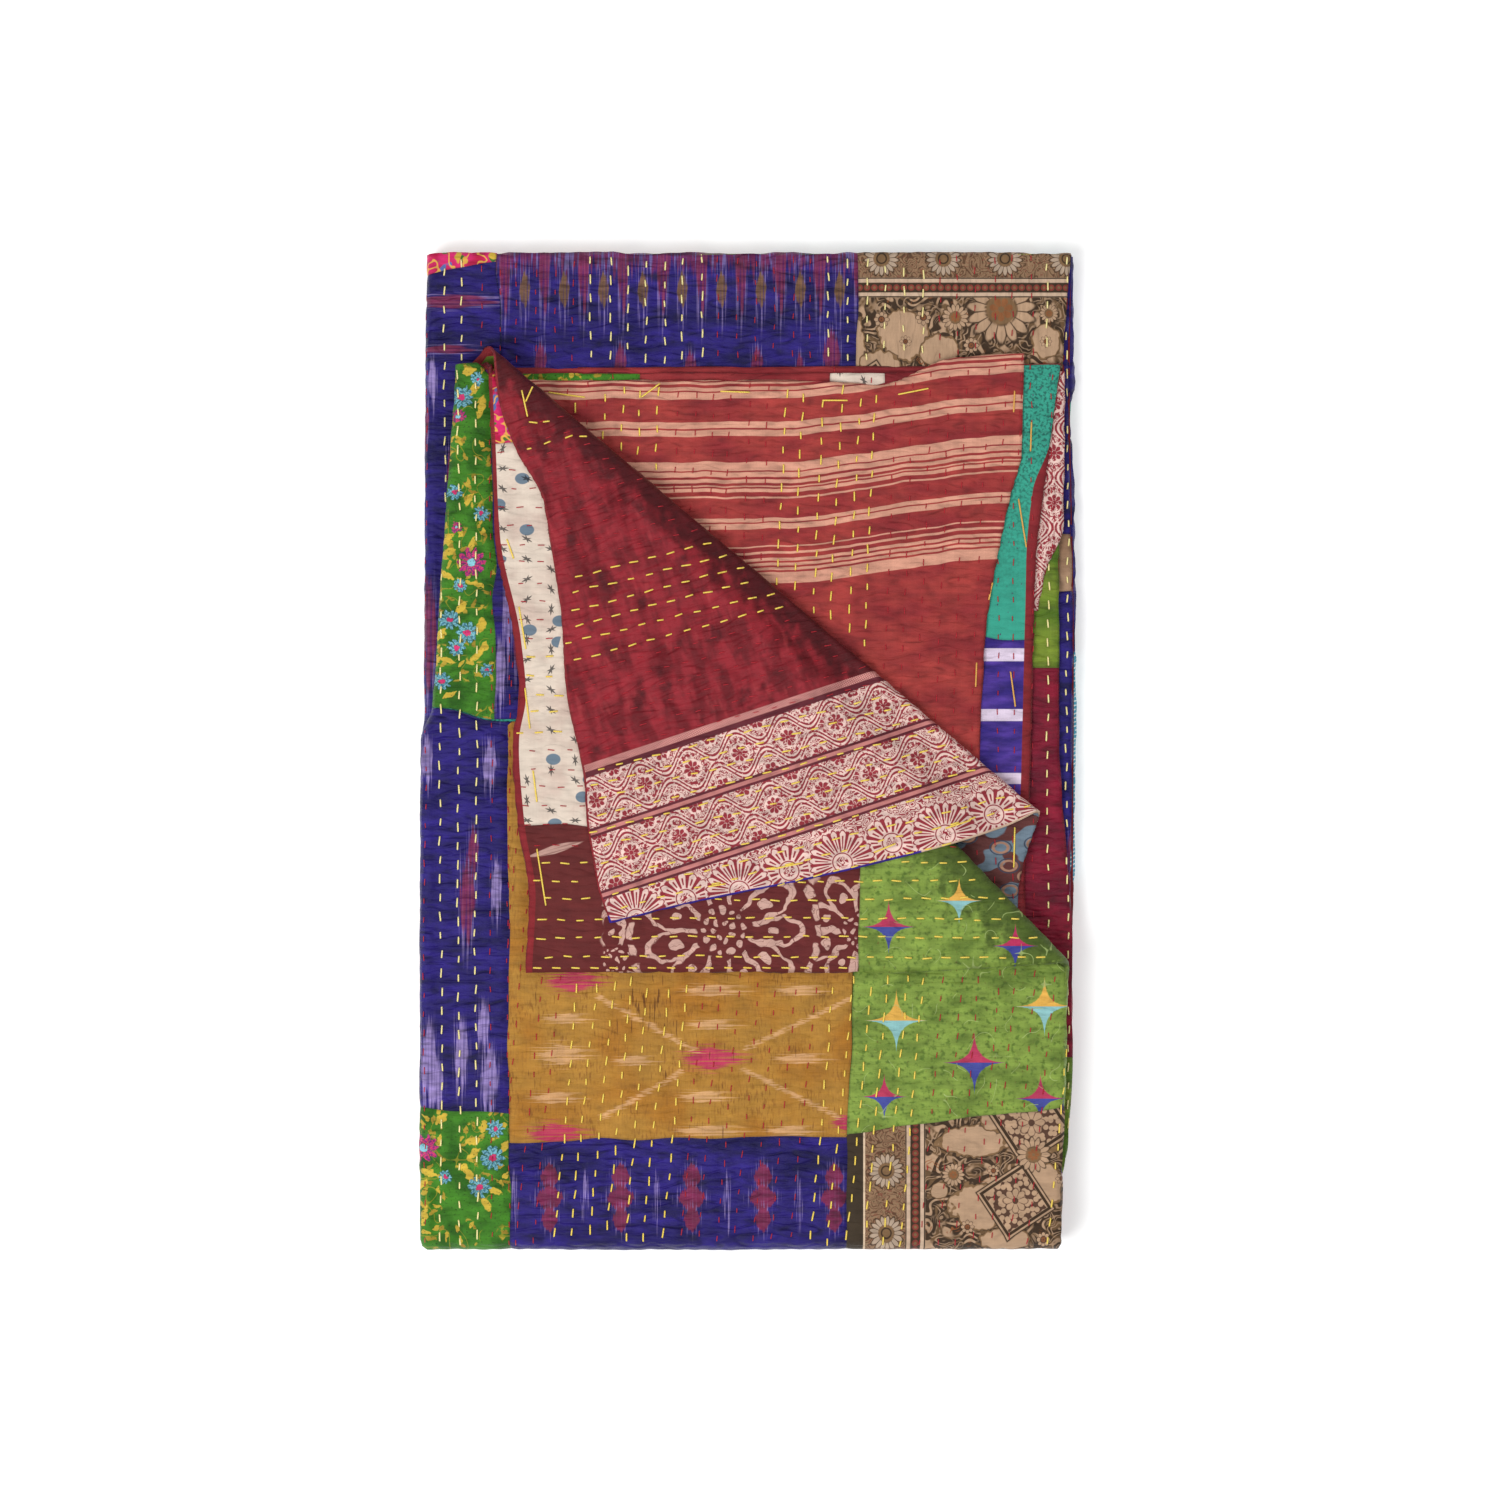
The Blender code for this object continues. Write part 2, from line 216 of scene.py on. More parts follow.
PACK = Crease(PACK_CREASE, PACK_BEND, BULGE * (PACK_AXIS - PACK_BOTTOM))
FLAP = Crease(FLAP_CREASE, FLAP_BEND, BULGE * (FLAP_ROLL + SHEET))
LEFT = {name: millimetres(rows) for name, rows in LEFT_EDGES.items()}
RIGHT = {name: millimetres(rows) for name, rows in RIGHT_EDGES.items()}
RIGHT["upper spine"] = swapped(PACK.unturned_rows(PACK_SPINE)[:-1]) + millimetres(PACK_SPINE_BELOW)
RIGHT["U5"] = swapped(FLAP.unturned_rows(FLAP_SIDE)[:-1]) + millimetres(FLAP_SIDE_BELOW)
HEM = {name: millimetres(rows) for name, rows in TOP_HEMS.items()}
HEM["upper spine"] = PACK.unturned_rows(PACK_HEM)
HEM["U5"] = millimetres(FLAP_HEM_START) + FLAP.unturned_rows(FLAP_HEM)
LEFT_BULGE = BULGE * (stack(4) + AIR / 2)
RIGHT_BULGE = BULGE * (stack(2) + AIR / 2)


def layer_masks(across, along):
    """Which layer each place on the sheet is in, by the names of the right edges."""
    middle = abs(across - WIDTH / 2) <= WIDTH / 2 - LEFT_FOLD + LEFT_BEND / 2
    upper = np.minimum(along, LENGTH - along) < UPPER + BOTTOM_BEND / 2
    near_half, near_side = along <= LENGTH / 2, across < WIDTH / 2
    masks = {"upper spine": middle & upper, "lower spine": middle & ~upper}
    for name, half, side in (("8 1", near_half, near_side), ("7 2", ~near_half, near_side),
                             ("6 3", ~near_half, ~near_side), ("5 4", near_half, ~near_side)):
        above, below = name.split()
        masks["U" + above] = ~middle & upper & half & side
        masks["L" + below] = ~middle & ~upper & half & side
    return masks


def settle(x, y, z):
    wave = np.sin(2 * np.pi * (x / RIPPLE_ACROSS + 0.2))
    wave = wave * np.sin(2 * np.pi * (y / RIPPLE_ALONG + 0.1))
    return z * (1 + RIPPLE * wave - SLUMP * smooth(SLUMP_START, SLUMP_END, x))


def laid(across, along, height):
    """Places of sheet points once the quilt is folded, with its corner not yet turned back."""
    across, along = np.clip(across, -RIM, WIDTH + RIM), np.clip(along, -RIM, LENGTH + RIM)
    past, z = turn(along - TOP_FOLD, height, SHEET + AIR / 2, TOP_BEND)
    y = TOP_FOLD + past
    past, z = turn(across - RIGHT_FOLD, z, stack(2) + AIR / 2, RIGHT_BEND)
    x = RIGHT_FOLD + past
    past, z = turn(LEFT_FOLD - x, z, stack(4) + AIR / 2, LEFT_BEND)
    x = -past
    past, z = turn(BOTTOM_FOLD - y, z, stack(8) + AIR / 2, BOTTOM_BEND)
    y = -past
    masks = layer_masks(across, along)

    def shifted(at):
        left, right = 0.0, 0.0
        for name, mask in masks.items():
            bulge = RIGHT_BULGE if name.endswith("spine") else 0.0
            leaf = "upper" if name[0].lower() == "u" else "lower"
            left = np.where(mask, read(LEFT[leaf], at) + LEFT_BULGE, left)
            right = np.where(mask, read(RIGHT[name], at) - bulge, right)
        inside = np.clip(x / PANEL, 0, 1)
        return left + (right - left) * inside + np.minimum(x, 0) + np.maximum(x - PANEL, 0)

    place = BOTTOM_CREASE + y
    rough = shifted(place)
    for name, rows in HEM.items():
        rise = (read(rows, rough) - BOTTOM_CREASE) / UPPER
        place = np.where(masks[name] & (y > 0), BOTTOM_CREASE + y * rise, place)
    return shifted(place), place, z, masks


def folded(across, along, height):
    """Places of sheet points on the folded quilt, before it is centred."""
    x, y, z, masks = laid(across, along, height)
    bending = abs(abs(across - WIDTH / 2) - (WIDTH / 2 - PANEL - LEFT_BEND / 2)) < LEFT_BEND / 2
    can_turn = ~bending & (np.minimum(along, LENGTH - along) <= UPPER)
    px, py, pz, _ = PACK.turned(x, y, z, PACK_AXIS)
    fx, fy, fz, past = FLAP.turned(x, y, z, FLAP_TOP + FLAP_ROLL)
    share = (1 - np.cos(np.pi * np.clip(past / FLAP_BEND, 0, 1))) / 2
    fz = fz + FLAP_LIFT * share * (1 - smooth(LIFT_FULL, LIFT_NONE, PACK.past(fx, fy)))
    in_pack, in_flap = masks["upper spine"] & can_turn, masks["U5"] & can_turn
    x = np.where(in_pack, px, np.where(in_flap, fx, x))
    y = np.where(in_pack, py, np.where(in_flap, fy, y))
    z = np.where(in_pack, pz, np.where(in_flap, fz, z))
    return np.stack([x, y, settle(x, y, z)], -1)


# ---------- layers that show
PIXEL = 0.000595  # metres of quilt to a pixel of the photograph
MIDDLE_X, MIDDLE_Y = 749.0, 750.5  # the quilt's middle in the photograph

# Layers. Columns: panel, whether in the near half, leaf, whether face up, crease, right edge, width
# of the hem that shows by where it is down the photograph (pixels, millimetres), and the bends that
# the layer's patches go round.
Layer = namedtuple("Layer", "panel near_half leaf face crease right hem covers", defaults=((),))
LAYERS = {
    "U1": Layer(1, True, "upper", True, None, "upper spine", 0, ("left", "right", "bottom")),
    "U4": Layer(2, True, "upper", True, PACK, "upper spine",
                [(340, 1.6), (500, 2.4), (640, 4.0), (985, 4.0)], ("right",)),
    "flap": Layer(3, True, "upper", False, FLAP, "U5", [(300, 0.9), (960, 0.9)]),
    "U5": Layer(3, True, "upper", True, None, "U5", 0),
    "U6": Layer(3, False, "upper", False, None, "U6", 0),
    "U7": Layer(0, False, "upper", True, None, "U7",
                [(350, 0), (440, 0), (490, 7.0), (620, 5.6), (985, 5.6)]),
    "U8": Layer(0, True, "upper", False, None, "U8", 0),
    "L1": Layer(0, True, "lower", True, None, "L1", 0, ("left", "top")),
    "L3": Layer(3, False, "lower", True, None, "L3", 0),
    "L5": Layer(2, True, "lower", True, None, "lower spine", 0, ("right",)),
    "L8": Layer(1, True, "lower", True, None, "lower spine", 0, ("top",)),
}
BELOW = ("L8",)  # layers that show from below


def from_photo(across, down):
    return (np.asarray(across) - MIDDLE_X) * PIXEL, (MIDDLE_Y - np.asarray(down)) * PIXEL


# ---------- drawing with shader nodes
def ink(red, green, blue):
    """A colour as it is seen, for a shader."""
    return tuple((part / 255) ** 2.2 for part in (red, green, blue)) + (1.0,)


def plug(tree, socket, value):
    if isinstance(value, Field):
        tree.links.new(value.socket, socket)
    else:
        socket.default_value = value


def reckon(tree, operation, *values):
    node = tree.nodes.new("ShaderNodeMath")
    node.operation = operation
    for slot, value in zip(node.inputs, values):
        plug(tree, slot, value)
    return Field(tree, node.outputs[0])


def working(operation, swapped_round=False):
    """A way of reckoning with a field and another value."""
    def work(self, other):
        values = (other, self) if swapped_round else (self, other)
        return reckon(self.tree, operation, *values)
    return work


class Field:
    """A value that changes over the cloth: a shader socket to reckon with."""

    def __init__(self, tree, socket):
        self.tree, self.socket = tree, socket

    __add__ = __radd__ = working("ADD")
    __sub__, __rsub__ = working("SUBTRACT"), working("SUBTRACT", swapped_round=True)
    __mul__ = __rmul__ = working("MULTIPLY")
    __truediv__ = working("DIVIDE")
    __gt__, __lt__ = working("GREATER_THAN"), working("LESS_THAN")
    most, least = working("MAXIMUM"), working("MINIMUM")

    def of(self, operation, *others):
        return reckon(self.tree, operation, self, *others)

    def __abs__(self):
        return self.of("ABSOLUTE")

    def clamped(self):
        return self.most(0.0).least(1.0)

    def between(self, low, high):
        """0 below low, 1 above high, with a smooth rise; falls where high is lower."""
        node = self.tree.nodes.new("ShaderNodeMapRange")
        node.interpolation_type = "SMOOTHSTEP"
        node.clamp = False  # it stays within 0 and 1 by itself
        for slot, value in zip(node.inputs, (self, low, high)):
            plug(self.tree, slot, value)
        return Field(self.tree, node.outputs[0])

    def wave(self, length):
        """1 on the lines at whole numbers of lengths, -1 halfway between."""
        return (self * (2 * math.pi / length)).of("COSINE")


def mixed(under, over, share):
    """One colour over another."""
    tree = share.tree
    node = tree.nodes.new("ShaderNodeMix")
    node.data_type = "RGBA"
    plug(tree, node.inputs[0], share)
    plug(tree, node.inputs[6], under)
    plug(tree, node.inputs[7], over)
    return Field(tree, node.outputs[2])


def shaded(color, shade):
    """A colour made darker or lighter by a factor."""
    node = shade.tree.nodes.new("ShaderNodeHueSaturation")
    plug(shade.tree, node.inputs["Value"], shade)
    plug(shade.tree, node.inputs["Color"], color)
    return Field(shade.tree, node.outputs[0])


def joined(x, y, z=0.0):
    node = x.tree.nodes.new("ShaderNodeCombineXYZ")
    for slot, value in zip(node.inputs, (x, y, z)):
        plug(x.tree, slot, value)
    return node.outputs[0]


def parts(tree, place):
    """The numbers of a place, each as a field."""
    node = tree.nodes.new("ShaderNodeSeparateXYZ")
    tree.links.new(place, node.inputs[0])
    return [Field(tree, output) for output in node.outputs]


def noise(x, y, long=1.0, tall=1.0, detail=2.0, seed=0.0):
    """Cloudy noise from 0 to 1, with features about long by tall."""
    node = x.tree.nodes.new("ShaderNodeTexNoise")
    node.inputs["Scale"].default_value = 1.0
    node.inputs["Detail"].default_value = detail
    x.tree.links.new(joined(x / long, y / tall, seed), node.inputs["Vector"])
    return Field(x.tree, node.outputs["Fac"])


def polar(x, y):
    """Distance from the middle, and the angle round it."""
    return (x * x + y * y).of("SQRT"), y.of("ARCTAN2", x)


def new_material(name):
    """A new material, its node tree and its shader."""
    material = bpy.data.materials.new(name)
    material.use_nodes = True
    return material, material.node_tree, material.node_tree.nodes["Principled BSDF"]


def raise_bumps(tree, shader, height, distance):
    """Relief that is finer than the mesh."""
    bump = tree.nodes.new("ShaderNodeBump")
    bump.inputs["Distance"].default_value = distance
    plug(tree, bump.inputs["Height"], height)
    tree.links.new(bump.outputs[0], shader.inputs["Normal"])


class Effect:
    """A shader node group, built once and placed in each cloth with its own values."""

    def __init__(self, name, inputs, outputs, draw):
        self.tree = bpy.data.node_groups.new(name, "ShaderNodeTree")
        self.outputs = outputs
        for label, default in inputs.items():
            kind = "NodeSocketColor" if isinstance(default, tuple) else "NodeSocketFloat"
            socket = self.tree.interface.new_socket(label, in_out="INPUT", socket_type=kind)
            socket.default_value = default
        for label in outputs:
            kind = "NodeSocketColor" if label.endswith("Color") else "NodeSocketFloat"
            self.tree.interface.new_socket(label, in_out="OUTPUT", socket_type=kind)
        entry, leave = (self.tree.nodes.new("NodeGroup" + kind) for kind in ("Input", "Output"))
        results = draw(*(Field(self.tree, entry.outputs[label]) for label in inputs))
        for slot, value in zip(leave.inputs, results):
            plug(self.tree, slot, value)

    def __call__(self, *values):
        tree = next(value.tree for value in values if isinstance(value, Field))
        node = tree.nodes.new("ShaderNodeGroup")
        node.node_tree = self.tree
        for slot, value in zip(node.inputs, values):
            plug(tree, slot, value)
        fields = [Field(tree, node.outputs[label]) for label in self.outputs]
        return fields[0] if len(fields) == 1 else fields


# ---------- effects that cloths share
# Cloths are drawn in the photograph's pixels, across to the right and down.
THREAD = 0.62  # pixels from one thread of the weave to the next


def draw_weave(x, y, slub):
    warp, weft = x.wave(THREAD), y.wave(THREAD)
    streaks = noise(x, y, 60, 0.9, 2, 3) * 0.5 + noise(x, y, 0.9, 60, 2, 8) * 0.5
    shade = 1 + (streaks - 0.5) * slub
    return shade, (warp * weft) * 0.5 + streaks * 1.5


def draw_ikat(x, y, half_wide, half_tall, rag):
    """A dyed spot whose ends are ragged, since each thread has slipped by its own amount."""
    slip = (noise(x, y, 2.2, 400, 2, 5) - 0.5) * rag * 4.5
    wide, tall = x / half_wide, (y + slip) / half_tall
    reach = 1 - (wide * wide + tall * tall).of("SQRT") * 0.5 - (abs(wide) + abs(tall)) * 0.5
    threads = noise(x, y, 1.7, 90, 1, 9)
    body = reach.between(0, 0.2) * (0.45 + threads.between(0.36, 0.52) * 0.55)
    fringe = reach.between(-0.6, 0.1) * threads.between(0.5, 0.62)
    return body, fringe


def draw_blossom(x, y, radius, petals, eye, notch):
    distance, angle = polar(x, y)
    fan = abs((angle * petals / 2).of("COSINE"))
    rim = radius * (1 - notch * (1 - fan))
    petal = distance.between(rim, rim * 0.86) * distance.between(eye, eye * 1.2)
    line = fan.between(0.35, 0.1).most(abs(distance - rim).between(radius * 0.1, 0))
    return (petal, distance.between(eye * 1.15, eye * 0.9),
            (line * distance.between(rim * 1.1, rim)).clamped())


def draw_leaf(x, y, length, width, angle):
    along = x * angle.of("COSINE") + y * angle.of("SINE")
    off = y * angle.of("COSINE") - x * angle.of("SINE")
    edge = 1 - (along / length) * (along / length) - abs(off) / width
    return (edge.between(0, 0.25),)


def draw_tiles(x, y, wide, tall, drop):
    column = (x / wide + 0.5).of("FLOOR")
    down = y + column.of("MODULO", 2) * drop
    row = (down / tall + 0.5).of("FLOOR")
    chance = (column * 12.9898 + row * 78.233).of("SINE") * 43758.5453
    return x - column * wide, down - row * tall, chance.of("FRACT")


def draw_scatter(x, y, spacing):
    node = x.tree.nodes.new("ShaderNodeTexVoronoi")
    node.voronoi_dimensions = "2D"
    node.inputs["Scale"].default_value = 1
    x.tree.links.new(joined(x / spacing, y / spacing), node.inputs["Vector"])
    across, down, _ = parts(x.tree, node.outputs["Position"])
    chance, _, _ = parts(x.tree, node.outputs["Color"])
    return x - across * spacing, y - down * spacing, chance


def draw_band(at, start, end, soft):
    return (at.between(start - soft, start + soft) * at.between(end + soft, end - soft),)


def draw_worn_and_crease_shade(color, x, y, fade, crease):
    """Dye faded in clouds, and painted shade along the ripples and creases between the stitches."""
    clouds = noise(x, y, 45, 60, 3, 1)
    ripples = noise(x, y, 26, 7.5, 2, 2)
    lines = abs(noise(x, y, 30, 9, 0, 12) - 0.5).between(0.14, 0)
    broken = noise(x, y, 18, 14, 1, 13).between(0.46, 0.68)
    shade = 1 + (clouds - 0.5) * fade + (ripples - 0.5) * crease * 1.7
    return (shaded(color, shade * (1 - lines * broken * crease * 0.45)),)


def draw_puckers(x, y, depth):
    ripples = noise(x, y, 15, 5, 2, 4)
    folds = noise(x, y, 34, 9, 2, 6)
    lines = abs(noise(x, y, 30, 9, 0, 12) - 0.5).between(0.14, 0)
    return ((ripples * 2 + folds * 3 - lines * 0.9) * depth,)


def draw_painted_fold_shade(x, y, start_x, start_y, out_x, out_y, wide):
    """Painted shade: darker cloth beside a fold that runs at right angles to (out x, out y)."""
    past = (x - start_x) * out_x + (y - start_y) * out_y
    ragged = past + (noise(x, y, 14, 20, 3, 14) - 0.42) * wide * 2.4
    return (ragged.between(wide * -1, wide * -0.25) * past.between(wide * 0.6, 0),)


PLACE = {"X": 0, "Y": 0}
WEAVE = Effect("silk weave", {**PLACE, "Slub": 0.3}, ["Shade", "Height"], draw_weave)
IKAT = Effect("ikat motif", {**PLACE, "Half Width": 8, "Half Height": 20, "Rag": 8},
              ["Body", "Fringe"], draw_ikat)
BLOSSOM = Effect("blossom", {**PLACE, "Radius": 8, "Petals": 8, "Eye": 2, "Notch": 0.28},
                 ["Petal", "Eye", "Line"], draw_blossom)
LEAF = Effect("leaf", {**PLACE, "Length": 8, "Width": 3, "Angle": 0}, ["Leaf"], draw_leaf)
TILES = Effect("repeat", {**PLACE, "Width": 40, "Height": 40, "Drop": 0},
               ["Local X", "Local Y", "Chance"], draw_tiles)
SCATTER = Effect("scatter", {**PLACE, "Spacing": 30}, ["Local X", "Local Y", "Chance"], draw_scatter)
BAND = Effect("band", {"At": 0, "Start": 0, "End": 1, "Soft": 0.3}, ["Band"], draw_band)
# Faded dye, and painted shade along ripples and creases.
WORN_AND_CREASE_SHADE = Effect("worn dye", {"Color": (1, 1, 1, 1), **PLACE, "Fade": 0.3, "Crease": 0.4},
              ["Worn Color"], draw_worn_and_crease_shade)
# Painted shade beside a fold.
PAINTED_FOLD_SHADE = Effect("fold shade", {**PLACE, "Start X": 0, "Start Y": 0, "Out X": 1, "Out Y": 0,
                                   "Wide": 20}, ["Shade"], draw_painted_fold_shade)
PUCKERS = Effect("puckers", {**PLACE, "Depth": 1}, ["Height"], draw_puckers)

# ---------- colours
VIOLET, VIOLET_DEEP, LAVENDER = ink(40, 29, 106), ink(22, 15, 72), ink(140, 122, 176)
PLUM, BUD_GOLD = ink(116, 38, 68), ink(112, 82, 50)
MUSTARD, MUSTARD_DEEP, MUSTARD_STAIN = ink(166, 120, 50), ink(160, 106, 36), ink(124, 80, 32)
OAT, MAGENTA, SCRATCH_BROWN = ink(214, 166, 122), ink(178, 36, 88), ink(84, 46, 18)
LEAF_GREEN, LEAF_DEEP, LEAF_SPECK = ink(64, 122, 34), ink(42, 90, 20), ink(36, 56, 22)
STEM, FLOWER_SHADE = ink(150, 140, 40), ink(30, 62, 58)
SKY, PINK = ink(130, 190, 205), ink(196, 50, 104)
YELLOW, OLD_GOLD = ink(206, 172, 62), ink(150, 120, 40)
SKY_TONES, ROSE_TONES = (ink(58, 110, 130), ink(122, 182, 196)), (ink(120, 40, 110), ink(206, 60, 110))
ROSE_DEEP, ROSE = ink(176, 24, 66), ink(214, 44, 110)
ROSE_LEAF, ROSE_BLUE, ROSE_SWIRL = ink(70, 110, 50), ink(90, 110, 170), ink(226, 170, 78)
PRINT_LINE, PRINT_TAN, PRINT_TAUPE = ink(84, 60, 48), ink(176, 144, 116), ink(122, 94, 66)
BROWN_BLACK, RUST, MADDER = ink(62, 47, 34), ink(142, 84, 48), ink(120, 66, 54)
BORDER_TAN, BORDER_BROWN, BORDER_PETAL = ink(138, 110, 84), ink(92, 68, 50), ink(172, 150, 130)
BEAD_GROUND, BEAD, EDGE_CREAM = ink(196, 168, 144), ink(128, 60, 50), ink(210, 184, 156)
DARK_BAND_TONES = (ink(70, 58, 44), ink(46, 38, 30))
MAROON, MAROON_DEEP, PEACH = ink(156, 58, 54), ink(132, 42, 46), ink(204, 146, 124)
# The satin, its deeper tone and its painted sheen; then its painted shade in clouds and beside its
# fold.
SATIN, SATIN_DEEP, SATIN_PAINTED_SHEEN = ink(140, 36, 46), ink(104, 20, 30), ink(172, 62, 66)
SATIN_PAINTED_CLOUDS, SATIN_PAINTED_FOLD_SHADE = ink(70, 12, 22), ink(66, 8, 18)
WOVEN_CREAM, WOVEN_MAROON = ink(222, 190, 180), ink(140, 44, 54)
WOVEN_EDGE, WOVEN_STRIPE = ink(92, 34, 44), ink(184, 116, 112)
CHECK_TONES = (ink(150, 70, 74), ink(214, 160, 150))
BATIK_BROWN, BATIK_DEEP, BATIK_PALE = ink(104, 44, 42), ink(88, 34, 36), ink(196, 156, 144)
IVORY, IVORY_DEEP, CHARCOAL = ink(216, 200, 184), ink(202, 180, 166), ink(44, 42, 44)
SLATE, SLATE_BROWN = ink(104, 120, 134), ink(92, 52, 50)
OVAL_TAN, OVAL_SLATE = ink(160, 120, 100), ink(60, 66, 82)
STAR_GREEN, STAR_DARK, STAR_MOTTLE = ink(126, 150, 66), ink(98, 120, 50), ink(70, 96, 34)
# The green print's brown, its painted shade beside the fold, and its sprigs.
STAR_BROWN, STAR_PAINTED_FOLD_SHADE, STAR_SPRIG = ink(96, 70, 36), ink(58, 74, 26), ink(160, 178, 110)
WARM_STAR, COOL_STAR = (ink(226, 170, 78), ink(136, 188, 192)), (MAGENTA, ink(58, 62, 150))
TEAL, TEAL_DEEP = ink(58, 160, 138), ink(52, 150, 128)
TEAL_DARK, TEAL_SPECK = ink(34, 80, 74), ink(70, 70, 90)
BAND_VIOLET, BAND_VIOLET_DEEP, BAND_PALE = ink(80, 56, 146), ink(48, 34, 112), ink(212, 196, 216)
SEA_BLUE, HATCH_PALE = ink(52, 142, 168), ink(214, 226, 226)
WINE_TONES, OLIVE_TONES = (ink(98, 16, 40), ink(126, 22, 46)), (ink(76, 106, 30), ink(112, 132, 44))
SAND_TONES, HEM_TONES = (ink(138, 106, 82), ink(166, 134, 108)), (ink(120, 34, 40), ink(146, 50, 52))
NARROW_HEM_TONES = (ink(112, 30, 38), ink(140, 44, 48))
PIPING_VIOLET, PIPING_CREAM = ink(52, 34, 130), ink(204, 172, 148)


# ---------- drawings of the cloths
ENDLESS = 1e4  # a step so long that nothing repeats that way


def in_columns(x, y, step, tall=ENDLESS):
    """The place in a column of a repeat, and in the columns halfway between."""
    return TILES(x, y, step, tall)[:2], TILES(x - step / 2, y, step, tall)[:2]


def ikat_at(x, y, color, rows, body_color, fringe_color, flat=False):
    """Ikat motifs from a table. Columns: across, down, half width, half height, rag."""
    for across, down, half_wide, half_tall, rag in rows:
        place = (x - across, y - down)
        body, fringe = IKAT(*(place[::-1] if flat else place), half_wide, half_tall, rag)
        color = mixed(mixed(color, fringe_color, fringe * 0.6), body_color, body * 0.85)
    return color


def draw_violet(x, y):
    clouds = noise(x, y, 120, 25, 3, 11)
    return mixed(VIOLET_DEEP, VIOLET, clouds.between(0.3, 0.58))


# Columns: across, down, half width, half height, rag.
SPEAR_BUDS = [
    (540, 360, 7, 20, 9), (620, 362, 7, 22, 9), (690, 366, 7, 18, 9), (757, 362, 7, 18, 9),
    (832, 354, 10, 28, 10), (800, 364, 4, 14, 8),
]
SPEAR_STEP, SPEAR_START, SPEAR_TOP = 39.5, 524, 272
# What hangs from the top in each column. Columns: down, half width, half height, rag.
SPEAR, DROP, BUD = (262, 6.5, 52, 22), (282, 6, 34, 20), (288, 6.2, 20, 7)


def draw_spears(x, y):
    """Violet ikat with a plum top from which spears and gold buds hang."""
    color = draw_violet(x, y)
    (near, _), (far, _) = in_columns(x - SPEAR_START, y, SPEAR_STEP)
    spear, spear_fringe = IKAT(far, y - SPEAR[0], *SPEAR[1:])
    _, drop_fringe = IKAT(near, y - DROP[0], *DROP[1:])
    bud, _ = IKAT(near, y - BUD[0], *BUD[1:])
    columns = noise(x, y, 3.4, 300, 3, 5)
    top = (y + (columns - 0.5) * 90).between(SPEAR_TOP, SPEAR_TOP - 14)
    threads = noise(x, y, 1.8, 40, 1, 9).between(0.52, 0.62)
    color = mixed(color, LAVENDER, (spear_fringe.most(drop_fringe) * 0.5).most(top * threads * 0.5))
    color = mixed(color, PLUM, spear.most(top * (1 - threads) * 0.8) * 0.85)
    color = mixed(color, BUD_GOLD, bud * 0.9)
    return ikat_at(x, y, color, SPEAR_BUDS, PLUM, LAVENDER)


# Columns: across, down, half width, half height, rag.
SMEAR_PLUM = [
    (452, 470, 7, 34, 18), (428, 632, 9, 60, 20), (468, 898, 9, 46, 22), (474, 850, 6, 26, 14),
    (424, 420, 6, 30, 16), (520, 640, 7, 40, 16),
]
SMEAR_PALE = [
    (490, 764, 8, 24, 16), (497, 888, 6, 30, 16), (500, 672, 7, 34, 20), (430, 1060, 8, 44, 24),
    (462, 1052, 8, 34, 26), (484, 1024, 7, 24, 20), (490, 1078, 10, 34, 24), (438, 1085, 7, 26, 20),
    (428, 760, 6, 24, 16), (432, 380, 4, 24, 16), (448, 560, 5, 46, 22), (508, 610, 5, 50, 22),
]
# The same, with the rag across. Columns: across, down, half height, half width, rag.
SMEAR_FLAT = [(452, 300, 8, 48, 18), (446, 348, 5, 30, 16)]


def draw_smears(x, y):
    """Violet ikat with pale and plum smears along the warp."""
    color = draw_violet(x, y)
    color = ikat_at(x, y, color, SMEAR_PALE, LAVENDER, LAVENDER)
    color = ikat_at(x, y, color, SMEAR_FLAT, PLUM, LAVENDER, flat=True)
    return ikat_at(x, y, color, SMEAR_PLUM, PLUM, LAVENDER)


CHAIN_STEP, CHAIN_START, CHAIN_DOWN, CHAIN_TALL = 71, 550, 1197, 260
CHAIN_STREAK = (4, 5, 32, 20)  # down, half width, half height, rag
# Lobes of a chain. Columns: down from its middle, half width, half height.
CHAIN_LOBES = [(-21, 10, 15), (0, 15, 14), (21, 9, 14)]


def draw_chains(x, y):
    """Violet ikat with chains of three plum lobes, and thin pale streaks between them."""
    color = draw_violet(x, y)
    (near, down), (far, _) = in_columns(x - CHAIN_START, y - CHAIN_DOWN, CHAIN_STEP, CHAIN_TALL)
    streak, _ = IKAT(far, down - CHAIN_STREAK[0], *CHAIN_STREAK[1:])
    color = mixed(color, LAVENDER, streak * noise(x, y, 0.9, 80, 1, 9).between(0.5, 0.54) * 0.7)
    for lobe, half_wide, half_tall in CHAIN_LOBES:
        body, fringe = IKAT(near, down - lobe, half_wide, half_tall, 4)
        color = mixed(mixed(color, LAVENDER, fringe * 0.5), PLUM, body.between(0, 0.5) * 0.9)
    return color


# Lozenges. Columns: across, down, half height, half width, rag.
LOZENGES = [
    (574, 981, 12, 27, 15), (712, 1058, 13, 29, 15), (556, 1133, 12, 27, 15), (846, 1122, 9, 14, 8),
]
